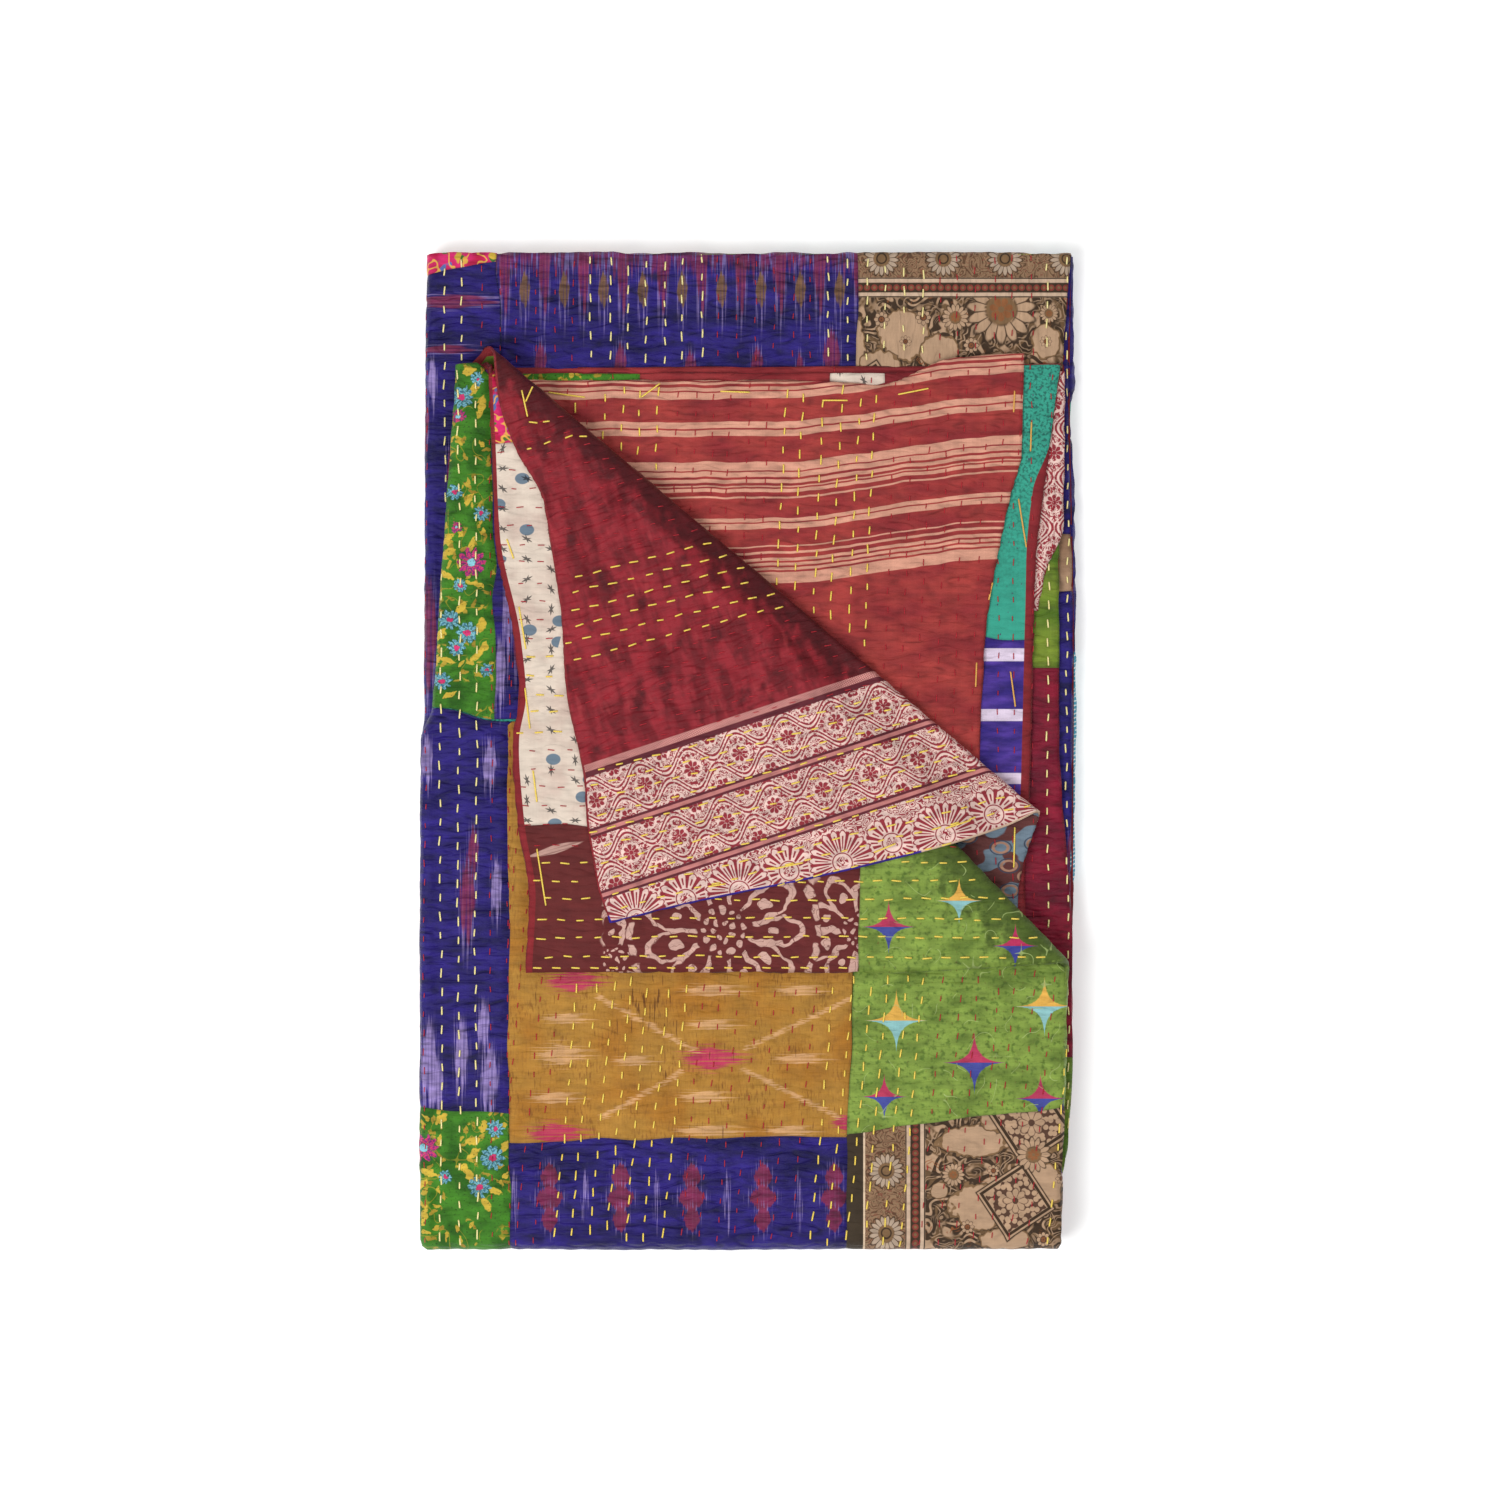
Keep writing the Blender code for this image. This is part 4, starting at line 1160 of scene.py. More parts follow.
# Cloths. Columns: name, drawing, roughness, sheen, slub, fade, crease (painted crease shade and pucker
# depth), whether its hem is piped.
Cloth = namedtuple("Cloth", "name draw rough sheen slub fade crease piping")
CLOTH_TABLE = [Cloth(*row) for row in (
    ("spear ikat", draw_spears, 0.52, 0.03, 0.6, 0.45, 1, False),
    ("smear ikat", draw_smears, 0.5, 0.03, 0.6, 0.5, 1, False),
    ("chain ikat", draw_chains, 0.5, 0.03, 0.6, 0.45, 1, False),
    ("mustard ikat", draw_mustard, 0.56, 0.05, 0.5, 0.3, 0.35, False),
    ("leaf floral", draw_leafy, 0.62, 0.05, 0.4, 0.35, 0.5, False),
    ("rose floral", draw_rose, 0.62, 0.05, 0.3, 0.3, 0.4, False),
    ("block print", draw_block_print, 0.72, 0.04, 0.25, 0.25, 0.35, False),
    ("striped sari", draw_striped, 0.6, 0.04, 0.4, 0.35, 0.6, False),
    ("border sari", draw_border, 0.46, 0.04, 0.45, 0.35, 0.5, True),
    ("border side", draw_border, 0.46, 0.04, 0.45, 0.35, 0.5, False),
    ("batik", draw_batik, 0.68, 0.04, 0.3, 0.35, 0.35, False),
    ("cream print", draw_cream_print, 0.72, 0.03, 0.2, 0.2, 0.25, False),
    ("slate print", draw_slate_print, 0.66, 0.04, 0.3, 0.3, 0.4, False),
    ("star print", draw_star_print, 0.58, 0.06, 0.4, 0.35, 0.5, False),
    ("teal fleck", draw_teal, 0.64, 0.04, 0.3, 0.25, 0.3, False),
    ("violet bands", draw_violet_bands, 0.6, 0.06, 0.4, 0.3, 0.5, False),
    ("blue hatch", draw_hatch, 0.6, 0.05, 0.3, 0.25, 0.3, False),
    ("wine silk", silk(*WINE_TONES), 0.5, 0.03, 0.5, 0.45, 0.8, False),
    ("olive silk", silk(*OLIVE_TONES), 0.54, 0.03, 0.7, 0.45, 0.8, False),
    ("sand silk", silk(*SAND_TONES), 0.6, 0.05, 0.5, 0.3, 0.4, False),
    ("hem silk", silk(*HEM_TONES), 0.6, 0.05, 0.4, 0.3, 0.4, False),
)]
CLOTHS = {cloth.name: cloth for cloth in CLOTH_TABLE}
SEAM_DARKENING, SEAM_DARKENING_SPAN = 0.28, (0.2, 2.4)  # how much darker seams are, and where
HEM_EDGE = (0.25, -0.25)


def cloth_material(name):
    """The material of a cloth, made when it is first asked for."""
    if name in bpy.data.materials:
        return bpy.data.materials[name]
    cloth = CLOTHS[name]
    material, tree, shader = new_material(name)
    places = []
    for map_name in ("cloth", "edge"):
        map_node = tree.nodes.new("ShaderNodeUVMap")
        map_node.uv_map = map_name
        places += parts(tree, map_node.outputs[0])[:2]
    x, y, edge, seam = (place / unit for place, unit in zip(places, (PIXEL, -PIXEL, PIXEL, PIXEL)))
    hem = mixed(*NARROW_HEM_TONES, noise(x, y, 30, 12, 2, 181))
    if cloth.piping:
        piping = mixed(PIPING_VIOLET, PIPING_CREAM, x.between(*PIPING_SPAN))
        hem = mixed(hem, piping, y.between(*PIPING_START))
    color = mixed(cloth.draw(x, y), hem, edge.between(*HEM_EDGE))
    shade, height = WEAVE(x, y, cloth.slub)
    # Darker cloth near the seams.
    shade = shade * (1.0 - SEAM_DARKENING + SEAM_DARKENING * seam.between(*SEAM_DARKENING_SPAN))
    # Faded dye, and painted shade along the ripples and creases.
    color = WORN_AND_CREASE_SHADE(shaded(color, shade), x, y, cloth.fade, cloth.crease)
    plug(tree, shader.inputs["Base Color"], color)
    plug(tree, shader.inputs["Roughness"], shade * cloth.rough)
    puckers = PUCKERS(x, y, 0.4 + cloth.crease * 0.9)
    raise_bumps(tree, shader, puckers + height * 0.12, 0.0005)
    shader.inputs["Sheen Weight"].default_value = cloth.sheen
    shader.inputs["Sheen Roughness"].default_value = 0.4
    shader.inputs["Specular IOR Level"].default_value = 0.22
    return material


# ---------- the patches
# Patches by where they show. Columns: layer, cloth, then the corners in the photograph's pixels:
# top left, top right, bottom right, bottom left. A corner may lie past an edge or a fold, and the
# patch then goes round it. Then where the cloth's own drawing starts, and its turn in degrees.
Patch = namedtuple("Patch", "layer cloth corners start turn", defaults=((0, 0), 0))


def box(left, top, right, bottom):
    """Corners of a square-cut patch."""
    return (left, top), (right, top), (right, bottom), (left, bottom)


PATCHES = [Patch(*row) for row in (
    ("L1", "rose floral", ((408, 243), (497, 243), (497, 262), (408, 274))),
    ("L1", "smear ikat", ((405, 274), (497, 262), (503, 740), (405, 740))),
    ("L1", "spear ikat", ((497, 243), (858, 243), (858, 450), (500, 450))),
    ("L1", "block print", box(858, 243, 1084, 532), (860, 216), -90),
    ("L1", "olive silk", box(985, 532, 1084, 668)),
    ("L1", "wine silk", ((985, 668), (1084, 668), (1086, 1058), (985, 1058))),
    ("L1", "olive silk", ((985, 1058), (1086, 1058), (1080, 1275), (985, 1275))),
    ("L3", "smear ikat", box(1020, 243, 1084, 532)),
    ("L3", "sand silk", box(1020, 532, 1084, 592)),
    ("L3", "smear ikat", box(1020, 592, 1084, 740), (600, 0)),
    ("L3", "smear ikat", box(1020, 740, 1084, 1275), (600, 0)),
    ("L5", "smear ikat", box(1040, 243, 1090, 650)),
    ("L5", "blue hatch", box(1040, 650, 1090, 885)),
    ("L5", "wine silk", box(1040, 885, 1090, 1275)),
    ("U8", "hem silk", box(440, 350, 1000, 400)),
    ("U8", "border side", box(1000, 352, 1078, 610), (1092, 352), -90),
    ("U7", "leaf floral", box(440, 358, 640, 430)),
    ("U7", "hem silk", box(640, 358, 832, 430)),
    ("U7", "cream print", box(832, 350, 884, 430)),
    ("U7", "hem silk", box(884, 350, 1010, 430)),
    ("U7", "teal fleck", box(1010, 350, 1074, 430)),
    ("U7", "teal fleck", box(900, 430, 1074, 637)),
    ("U7", "violet bands", ((900, 637), (1060, 637), (1050, 800), (900, 800))),
    ("U7", "wine silk", ((900, 800), (1050, 800), (1040, 980), (900, 980))),
    ("U6", "striped sari", box(440, 336, 1046, 990)),
    ("U5", "slate print", ((900, 780), (1055, 780), (1040, 960), (900, 960))),
    ("U4", "rose floral", box(474, 345, 560, 445)),
    ("U4", "cream print", ((474, 445), (720, 445), (700, 825), (474, 825))),
    ("U4", "batik", ((474, 825), (858, 825), (858, 984), (504, 984))),
    ("U4", "star print", ((858, 700), (1110, 840), (1092, 984), (858, 984))),
    ("flap", "border sari", ((470, 290), (1060, 780), (1056, 870), (610, 950)), (586, 765), 18.2),
    ("U1", "leaf floral", ((430, 358), (492, 358), (497, 718), (404, 704))),
    ("U1", "smear ikat", ((492, 358), (620, 358), (620, 730), (497, 718))),
    ("U1", "smear ikat", ((402, 704), (512, 722), (510, 1112), (402, 1104))),
    ("U1", "mustard ikat", ((505, 722), (860, 722), (847, 1136), (511, 1141))),
    ("U1", "leaf floral", ((402, 1104), (510, 1112), (508, 1285), (402, 1285))),
    ("U1", "chain ikat", ((510, 1141), (847, 1136), (846, 1285), (508, 1285))),
    ("U1", "star print", ((856, 900), (1086, 900), (1084, 1104), (847, 1133))),
    ("U1", "block print", ((846, 1132), (1084, 1104), (1080, 1285), (846, 1285)), (845, 1130)),
    ("L8", "mustard ikat", box(412, 243, 730, 500), (-120, -740)),
    ("L8", "chain ikat", box(730, 243, 1084, 420), (220, -860)),
    ("L8", "star print", box(730, 420, 1084, 760), (-160, -560)),
    ("L8", "wine silk", box(412, 500, 730, 820)),
    ("L8", "block print", box(412, 820, 680, 1242), (428, 900)),
    ("L8", "leaf floral", box(680, 820, 730, 1242), (245, 60)),
    ("L8", "smear ikat", box(730, 760, 940, 1242), (360, 0)),
    ("L8", "batik", box(940, 760, 1084, 1030), (200, 0)),
    ("L8", "spear ikat", box(940, 1030, 1084, 1242), (320, 800)),
)]
CELL = 0.0023  # of a patch

# Main creases by where they show, in the photograph's pixels. Columns: layer, from, to, width and
# height in millimetres. A height below nothing is a trough.
CREASES = [
    ("U1", (421, 722), (512, 742), 3, 1.6), ("U1", (421, 736), (500, 757), 2.2, -1.2),
    ("U1", (436, 1190), (434, 1245), 2.2, -1.2), ("U1", (428, 1180), (426, 1245), 2.5, 1.2),
    ("U1", (515, 1178), (840, 1165), 2.5, -0.9), ("U1", (515, 1205), (700, 1200), 2, 0.9),
    ("U1", (540, 1226), (830, 1222), 2, -0.9), ("U1", (1063, 975), (1063, 1015), 2, -1.4),
    ("U1", (560, 1010), (560, 1075), 2, -0.9), ("U1", (623, 990), (640, 1050), 2.4, -0.9),
    ("U1", (427, 800), (432, 1080), 3, 1), ("U1", (470, 390), (476, 640), 3, 0.8),
    ("U4", (530, 826), (524, 965), 2.5, 0.9), ("U4", (503, 470), (512, 640), 2.5, 1),
    ("U4", (960, 868), (1052, 962), 3, 1), ("U4", (880, 900), (1030, 935), 4, 0.8),
    ("flap", (560, 440), (640, 560), 4, 1.1), ("flap", (600, 470), (720, 620), 3.5, -0.9),
    ("flap", (650, 520), (800, 680), 4, 1.1), ("flap", (720, 570), (880, 720), 3.5, -0.9),
    ("flap", (530, 420), (600, 620), 3, 0.9), ("flap", (600, 640), (760, 690), 3, 0.8),
    ("flap", (780, 640), (950, 770), 4.5, 0.9), ("flap", (620, 780), (640, 900), 3, 0.7),
    ("U6", (565, 378), (572, 440), 2.5, -1), ("U6", (612, 380), (618, 470), 2.5, 1),
    ("U6", (700, 380), (780, 400), 2.5, 1.2), ("U6", (800, 376), (832, 396), 2, -1.6),
    ("U6", (930, 362), (940, 560), 3, 0.9), ("U6", (985, 380), (975, 520), 3, -0.9),
    ("U6", (880, 620), (960, 760), 4, 1), ("U6", (820, 560), (980, 700), 5, 0.8),
    ("U6", (910, 590), (975, 620), 3, -0.8),
    ("L1", (500, 278), (690, 284), 2.5, -1.2), ("L1", (560, 262), (860, 276), 2.5, 1),
    ("L1", (500, 316), (640, 322), 2.5, -1), ("L1", (640, 338), (850, 332), 3, 0.9),
    ("L1", (870, 300), (1060, 312), 3, 0.8), ("L1", (428, 300), (426, 700), 3, 0.9),
    ("L1", (1035, 755), (1060, 790), 2.5, 1.4), ("L1", (1028, 775), (1055, 800), 2, -1.2),
    ("U7", (1030, 380), (1040, 560), 3, 0.9), ("U7", (1000, 640), (1022, 780), 3, 0.8),
]

ROW = 0.0108  # between rows of stitches
SKIN = 0.00025  # from the sheet to the patches at their lowest
NOISE_CELLS = 97
# Random waves of the cloth, in metres. Columns: length across, length along, height, seed.
WAVES = [(0.010, 0.0046, 0.00085, 1), (0.006, 0.0031, 0.00035, 2), (0.045, 0.020, 0.00090, 3)]
PUCKER = 0.0004  # ridge between two rows of stitches
SEAM_RIDGE, SEAM_RIDGE_AT, SEAM_RIDGE_WIDE = 0.00022, 0.0016, 0.0009
PRESSED = 0.4  # share of the relief that is left underneath
SEAM_START = 0.3  # share of the waves left at a patch's edge
SEAM_FADE = 0.005
SEAM_WANDER = 0.0035  # how far the seams stray from straight
SEAM_CELL = 0.022
HEM_RIDGE = 0.00035  # a hem stands this much above its cloth
HEM_STEP = (0.001, -0.0002)  # from the hem's inner edge, where that rise starts and ends
CREASE_FADE = (-0.006, 0.012)  # along a crease from its end
CREASE_WANDER, CREASE_CELL = 0.004, 0.03
# Seeds of the waves that creases and seams stray by.
CREASE_SEED, SEAM_SEEDS = 5, (8, 9)


def soft_noise(x, y, cell_x, cell_y, seed):
    """Smooth random waves from 0 to 1, with cells of a given size."""
    table = np.random.default_rng(seed).random((NOISE_CELLS, NOISE_CELLS))
    x, y = x / cell_x, y / cell_y
    column, row = np.floor(x).astype(int), np.floor(y).astype(int)
    share_x, share_y = smooth(0, 1, x - column), smooth(0, 1, y - row)

    def corner(a, b):
        return table[(column + a) % NOISE_CELLS, (row + b) % NOISE_CELLS]

    near = corner(0, 0) * (1 - share_x) + corner(1, 0) * share_x
    far = corner(0, 1) * (1 - share_x) + corner(1, 1) * share_x
    return near * (1 - share_y) + far * share_y


def clipped(layer, x, y):
    """Points moved back onto a layer and the bends that its patches cover."""
    reach = {side: width * (side in layer.covers) for side, width in
             (("left", LEFT_BEND), ("right", RIGHT_BEND), ("top", TOP_BEND), ("bottom", BOTTOM_BEND))}
    high = BOTTOM_CREASE + LOWER + reach["top"] if layer.leaf == "lower" else np.inf
    y = np.clip(y, BOTTOM_CREASE - reach["bottom"], high)
    low = read(LEFT[layer.leaf], y) + LEFT_BULGE - reach["left"]
    spine = read(RIGHT[layer.right], y) - RIGHT_BULGE + reach["right"]
    return np.clip(x, low, spine if layer.right.endswith("spine") else np.inf), y


def sheet_place(layer, x, y):
    """Place on the flat sheet of what shows at a point of a layer."""
    left = read(LEFT[layer.leaf], y) + LEFT_BULGE
    right = read(RIGHT[layer.right], y) - (RIGHT_BULGE if layer.right.endswith("spine") else 0)
    inside = (x - left) / (right - left) * PANEL
    inside = np.where(x < left, x - left, np.where(x > right, PANEL + x - right, inside))
    up = y - BOTTOM_CREASE
    if layer.leaf == "upper":
        rise = (read(HEM[layer.right], x) - BOTTOM_CREASE) / UPPER
        along = UPPER - np.where(up > 0, up / rise, up)
    else:
        along = BOTTOM_FOLD + up
    if not layer.near_half:
        along = LENGTH - along
    across = (PANEL - inside, LEFT_FOLD + inside, WIDTH - LEFT_FOLD - inside,
              WIDTH - PANEL + inside)[layer.panel]
    return across, along


def relief(layer_name, across, along, x, y, border):
    """How far a patch stands off the sheet: puckers between stitch rows, ripples and creases."""
    lift = PUCKER * (0.5 - 0.5 * np.cos(2 * np.pi * across / ROW))
    for long, tall, height, seed in WAVES:
        lift = lift + height * soft_noise(across, along, long, tall, seed)
    lift *= SEAM_START + (1 - SEAM_START) * smooth(0, SEAM_FADE, border)
    lift += SEAM_RIDGE * np.exp(-((border - SEAM_RIDGE_AT) / SEAM_RIDGE_WIDE) ** 2)
    for name, start, end, width, height in CREASES:
        if name == layer_name:
            (x0, y0), (x1, y1) = from_photo(*start), from_photo(*end)
            length = math.hypot(x1 - x0, y1 - y0)
            dx, dy = (x1 - x0) / length, (y1 - y0) / length
            run = (x - x0) * dx + (y - y0) * dy
            off = (x - x0) * dy - (y - y0) * dx
            off += CREASE_WANDER * (soft_noise(x, y, CREASE_CELL, CREASE_CELL, CREASE_SEED) - 0.5)
            taper = smooth(*CREASE_FADE, run) * smooth(*CREASE_FADE, length - run)
            lift += height / 1000 * taper * np.exp(-(off / (width / 1000)) ** 2)
    hem = hem_width(LAYERS[layer_name], y)
    if hem is not None:
        lift += HEM_RIDGE * smooth(hem + HEM_STEP[0], hem + HEM_STEP[1], -past_rim(across, along))
    return SKIN + np.maximum(lift, 0) * (PRESSED if layer_name in BELOW else 1.0)


def hem_width(layer, y):
    """Width of the hem that shows at a height in the photograph, or none."""
    if not layer.hem:
        return None
    return read([(float(from_photo(0, down)[1]), wide / 1000) for down, wide in layer.hem], y)


def past_rim(across, along):
    return np.max([-across, across - WIDTH, -along, along - LENGTH], axis=0)


def round_rim(across, along, lift, face):
    """Take what lies past the sheet's edge round its rim, to the other side."""
    beyond = np.maximum(past_rim(across, along), 0)
    swing = np.pi * np.clip(beyond / RIM, 0, 1)
    outer, inner = (-lift, SHEET + SKIN) if face else (SHEET + lift, -SKIN)
    height = outer + (inner - outer) * (1 - np.cos(swing)) / 2
    out = RIM_BULGE * np.sin(swing) - np.maximum(beyond - RIM, 0)
    across = np.where(across < 0, -out, np.where(across > WIDTH, WIDTH + out, across))
    along = np.where(along < 0, -out, np.where(along > LENGTH, LENGTH + out, along))
    return across, along, height


def new_object(name, data):
    made = bpy.data.objects.new(name, data)
    bpy.context.scene.collection.objects.link(made)
    return made


def new_piece(name, mesh, materials):
    """Put a mesh of the quilt in the scene, with its materials."""
    for material in materials:
        mesh.materials.append(material)
    piece = new_object(name, mesh)
    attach(piece, "root")
    return piece


def set_maps(mesh, flats, edges):
    """The two maps that the cloths read: the place on the cloth, and how far the hem and seam are."""
    corners = np.empty(len(mesh.loops), np.int32)
    mesh.loops.foreach_get("vertex_index", corners)
    for name, values in (("cloth", flats), ("edge", edges)):
        layer = mesh.uv_layers.new(name=name)
        layer.data.foreach_set("uv", values[corners].astype(np.float32).ravel())


def patch_grid(patch):
    """Points, places on the cloth, distances to the hem, and faces of a patch."""
    layer = LAYERS[patch.layer]
    top_left, top_right, bottom_right, bottom_left = [np.array(from_photo(*corner))
                                                      for corner in patch.corners]
    wide = max(math.dist(top_right, top_left), math.dist(bottom_right, bottom_left))
    high = max(math.dist(top_left, bottom_left), math.dist(top_right, bottom_right))
    s, t = np.meshgrid(np.linspace(0, 1, int(wide / CELL) + 2),
                       np.linspace(0, 1, int(high / CELL) + 2), indexing="ij")
    border = np.minimum(np.minimum(s, 1 - s) * wide, np.minimum(t, 1 - t) * high)
    s, t = s[..., None], t[..., None]
    place = ((1 - s) * (1 - t) * bottom_left + s * (1 - t) * bottom_right
             + (1 - s) * t * top_left + s * t * top_right)
    flat_x, flat_y = place[..., 0], place[..., 1]
    stray_x, stray_y = (SEAM_WANDER * (soft_noise(flat_x, flat_y, SEAM_CELL, SEAM_CELL, seed) - 0.5)
                        for seed in SEAM_SEEDS)
    x, y = flat_x + stray_x, flat_y + stray_y
    lie_x, lie_y = layer.crease.unturned(x, y) if layer.crease else (x, y)
    clip_x, clip_y = clipped(layer, lie_x, lie_y)
    across, along = sheet_place(layer, clip_x, clip_y)
    past = past_rim(across, along)
    keep = past < RIM + OVERLAP
    if layer.crease:
        keep &= layer.crease.past(lie_x, lie_y) > -OVERLAP
    on_layer = (clip_x == lie_x) & (clip_y == lie_y)
    lift = relief(patch.layer, across, along, x, y, border)
    across, along, height = round_rim(across, along, lift, layer.face)
    start, angle = from_photo(*patch.start), math.radians(patch.turn)
    dx, dy = x - start[0], y - start[1]
    flats = np.stack([dx * math.cos(angle) + dy * math.sin(angle),
                      dy * math.cos(angle) - dx * math.sin(angle)], -1)
    edges = -past - hem_width(layer, y) if layer.hem else np.full_like(past, CELL)
    number = np.arange(x.size).reshape(x.shape)
    ring = [number[:-1, :-1], number[1:, :-1], number[1:, 1:], number[:-1, 1:]]
    if patch.layer in BELOW:
        ring.reverse()
    kept = keep[:-1, :-1] & keep[1:, :-1] & keep[1:, 1:] & keep[:-1, 1:]
    kept &= on_layer[:-1, :-1] | on_layer[1:, :-1] | on_layer[1:, 1:] | on_layer[:-1, 1:]
    faces = np.stack(ring, -1)[kept]
    points = placed(across, along, height).reshape(-1, 3)
    return points, flats.reshape(-1, 2), np.stack([edges.ravel(), border.ravel()], -1), faces


def make_layer(name):
    """The patches of one layer, as one piece."""
    patches = [patch for patch in PATCHES if patch.layer == name]
    cloth_names = sorted({patch.cloth for patch in patches})
    points, flats, edges, faces, cloths = [], [], [], [], []
    count = 0
    for patch in patches:
        grid = patch_grid(patch)
        for gathered, part in zip((points, flats, edges, faces), (*grid[:3], grid[3] + count)):
            gathered.append(part)
        cloths.append(np.full(len(grid[3]), cloth_names.index(patch.cloth)))
        count += len(grid[0])
    points, flats, edges, faces = map(np.concatenate, (points, flats, edges, faces))
    used, inverse = np.unique(faces, return_inverse=True)
    mesh = bpy.data.meshes.new("patches_" + name)
    mesh.from_pydata(points[used].tolist(), [], inverse.reshape(faces.shape).tolist())
    set_maps(mesh, flats[used], edges[used])
    mesh.polygons.foreach_set("material_index", np.concatenate(cloths).astype(np.int32))
    mesh.shade_smooth()
    return new_piece("patches_" + name, mesh, map(cloth_material, cloth_names))


# ---------- the sheet under the patches
PANEL_CELLS, LEAF_CELLS, HEM_BAND = 20, 28, 0.006
BEND_CELLS = {"top": 6, "right": 10, "left": 14, "bottom": 18}
NEAR_CREASES = (0.024, 0.014)  # the sheet's cells are halved this near a slanting crease
# Cloths of the face that only the folds' sides show, in turn.
HIDDEN_CLOTHS = ["smear ikat", "leaf floral", "wine silk", "mustard ikat", "olive silk",
                 "sand silk", "teal fleck"]
INSET = 0.0002  # the sheet is drawn this much thinner on each side, under its patches
HIDDEN_WIDE, HIDDEN_TALL = 0.19, 0.235
REVERSE_CLOTHS = ["striped sari", "hem silk"]


def lines(spans):
    """Grid lines along the sheet, from a list of spans and their numbers of cells."""
    places = [0.0]
    for span, cells in spans:
        start = places[-1]
        places += [start + span * index / cells for index in range(1, cells + 1)]
    return places


def sheet_lines():
    panel, left = (PANEL, PANEL_CELLS), (LEFT_BEND, BEND_CELLS["left"])
    lower, bottom = (LOWER, LEAF_CELLS), (BOTTOM_BEND, BEND_CELLS["bottom"])
    side = [(HEM_BAND, 1), (PANEL - HEM_BAND, PANEL_CELLS)]
    end = [(HEM_BAND, 1), (UPPER - HEM_BAND, LEAF_CELLS)]
    columns = lines(side + [left, panel, (RIGHT_BEND, BEND_CELLS["right"]), panel, left]
                    + side[::-1])
    rows = lines(end + [bottom, lower, (TOP_BEND, BEND_CELLS["top"]), lower, bottom] + end[::-1])
    return np.array(columns), np.array(rows)


def centring():
    """From the middle of the photograph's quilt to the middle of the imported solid."""
    across, along = np.meshgrid(*sheet_lines(), indexing="ij")
    points = np.concatenate([folded(across, along, np.full_like(across, height)).reshape(-1, 3)
                             for height in (0, SHEET)])
    low, high = points.min(0), points.max(0)
    shift = (np.array(CAD_BOX[0]) + np.array(CAD_BOX[1]) - low - high) / 2
    shift[2] = CAD_BOX[0][2] - low[2]
    return shift


SHIFT = centring()


def placed(across, along, height):
    return folded(across, along, height) + SHIFT


def hidden_cloth(across, along, face):
    """Cloth of a place on the sheet that the patches don't cover."""
    if min(across, WIDTH - across, along, LENGTH - along) < HEM_BAND:
        return "hem silk"
    if not face:
        return "striped sari"
    number = int(across / HIDDEN_WIDE) * 3 + int(along / HIDDEN_TALL) * 2
    return HIDDEN_CLOTHS[number % len(HIDDEN_CLOTHS)]


def flat_sheet(names):
    """The sheet before it is folded, as a thin closed box of cells with their cloths."""
    columns, rows = sheet_lines()
    sheet = bmesh.new()
    under, over = [[[sheet.verts.new((u, v, height)) for v in rows] for u in columns]
                   for height in (INSET, SHEET - INSET)]
    last_u, last_v = len(columns) - 1, len(rows) - 1
    for i in range(last_u):
        for j in range(last_v):
            middle = (columns[i] + columns[i + 1]) / 2, (rows[j] + rows[j + 1]) / 2
            for grid, step, face in ((over, 1, False), (under, -1, True)):
                ring = [grid[i][j], grid[i + 1][j], grid[i + 1][j + 1], grid[i][j + 1]][::step]
                sheet.faces.new(ring).material_index = names.index(hidden_cloth(*middle, face))
    rim = ([(i, 0) for i in range(last_u)] + [(last_u, j) for j in range(last_v)]
           + [(i, last_v) for i in range(last_u, 0, -1)] + [(0, j) for j in range(last_v, 0, -1)])
    for (i, j), (k, m) in zip(rim, rim[1:] + rim[:1]):
        ring = [under[i][j], under[k][m], over[k][m], over[i][j]]
        sheet.faces.new(ring).material_index = names.index("hem silk")
    return sheet


def crease_distance(points):
    """How far places on the flat sheet lie from the slanting crease of their layer."""
    x, y, z, masks = laid(points[:, 0], points[:, 1], points[:, 2])
    pack = np.where(masks["upper spine"], abs(PACK.past(x, y) - PACK_BEND / 2), 1.0)
    flap_x, flap_y, _, past = FLAP.turned(x, y, z, FLAP_TOP + FLAP_ROLL)
    lift = abs(PACK.past(flap_x, flap_y) - LIFT_NONE / 2) - LIFT_NONE / 2
    flap = np.minimum(abs(past - FLAP_BEND / 2), np.where(past > 0, lift, 1.0))
    return np.where(masks["U5"], flap, pack)


def make_sheet():
    """The whole folded sheet, closed, with the hems' band and rim."""
    names = HIDDEN_CLOTHS + REVERSE_CLOTHS
    sheet = flat_sheet(names)
    for near in NEAR_CREASES:
        edges = list(sheet.edges)
        middles = np.array([(edge.verts[0].co + edge.verts[1].co) / 2 for edge in edges])
        chosen = np.flatnonzero(crease_distance(middles) < near)
        long = [edges[index] for index in chosen if edges[index].calc_length() > SHEET * 2]
        bmesh.ops.subdivide_edges(sheet, edges=long, cuts=1, use_grid_fill=True)
    mesh = bpy.data.meshes.new("quilt_sheet")
    sheet.to_mesh(mesh)
    sheet.free()
    flat = np.empty(len(mesh.vertices) * 3, np.float32)
    mesh.vertices.foreach_get("co", flat)
    across, along, height = flat.astype(float).reshape(-1, 3).T
    points = placed(across, along, height)
    mesh.vertices.foreach_set("co", points.astype(np.float32).ravel())
    mesh.update()
    hem_distance = -past_rim(across, along) - HEM_BAND
    set_maps(mesh, np.stack([across, along], -1), np.stack([hem_distance, hem_distance * 0 + 1], -1))
    mesh.shade_smooth()
    mesh.set_sharp_from_angle(angle=math.radians(60))
    sheet_piece = new_piece("quilt_sheet", mesh, map(cloth_material, names))
    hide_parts("quilt")
    return sheet_piece


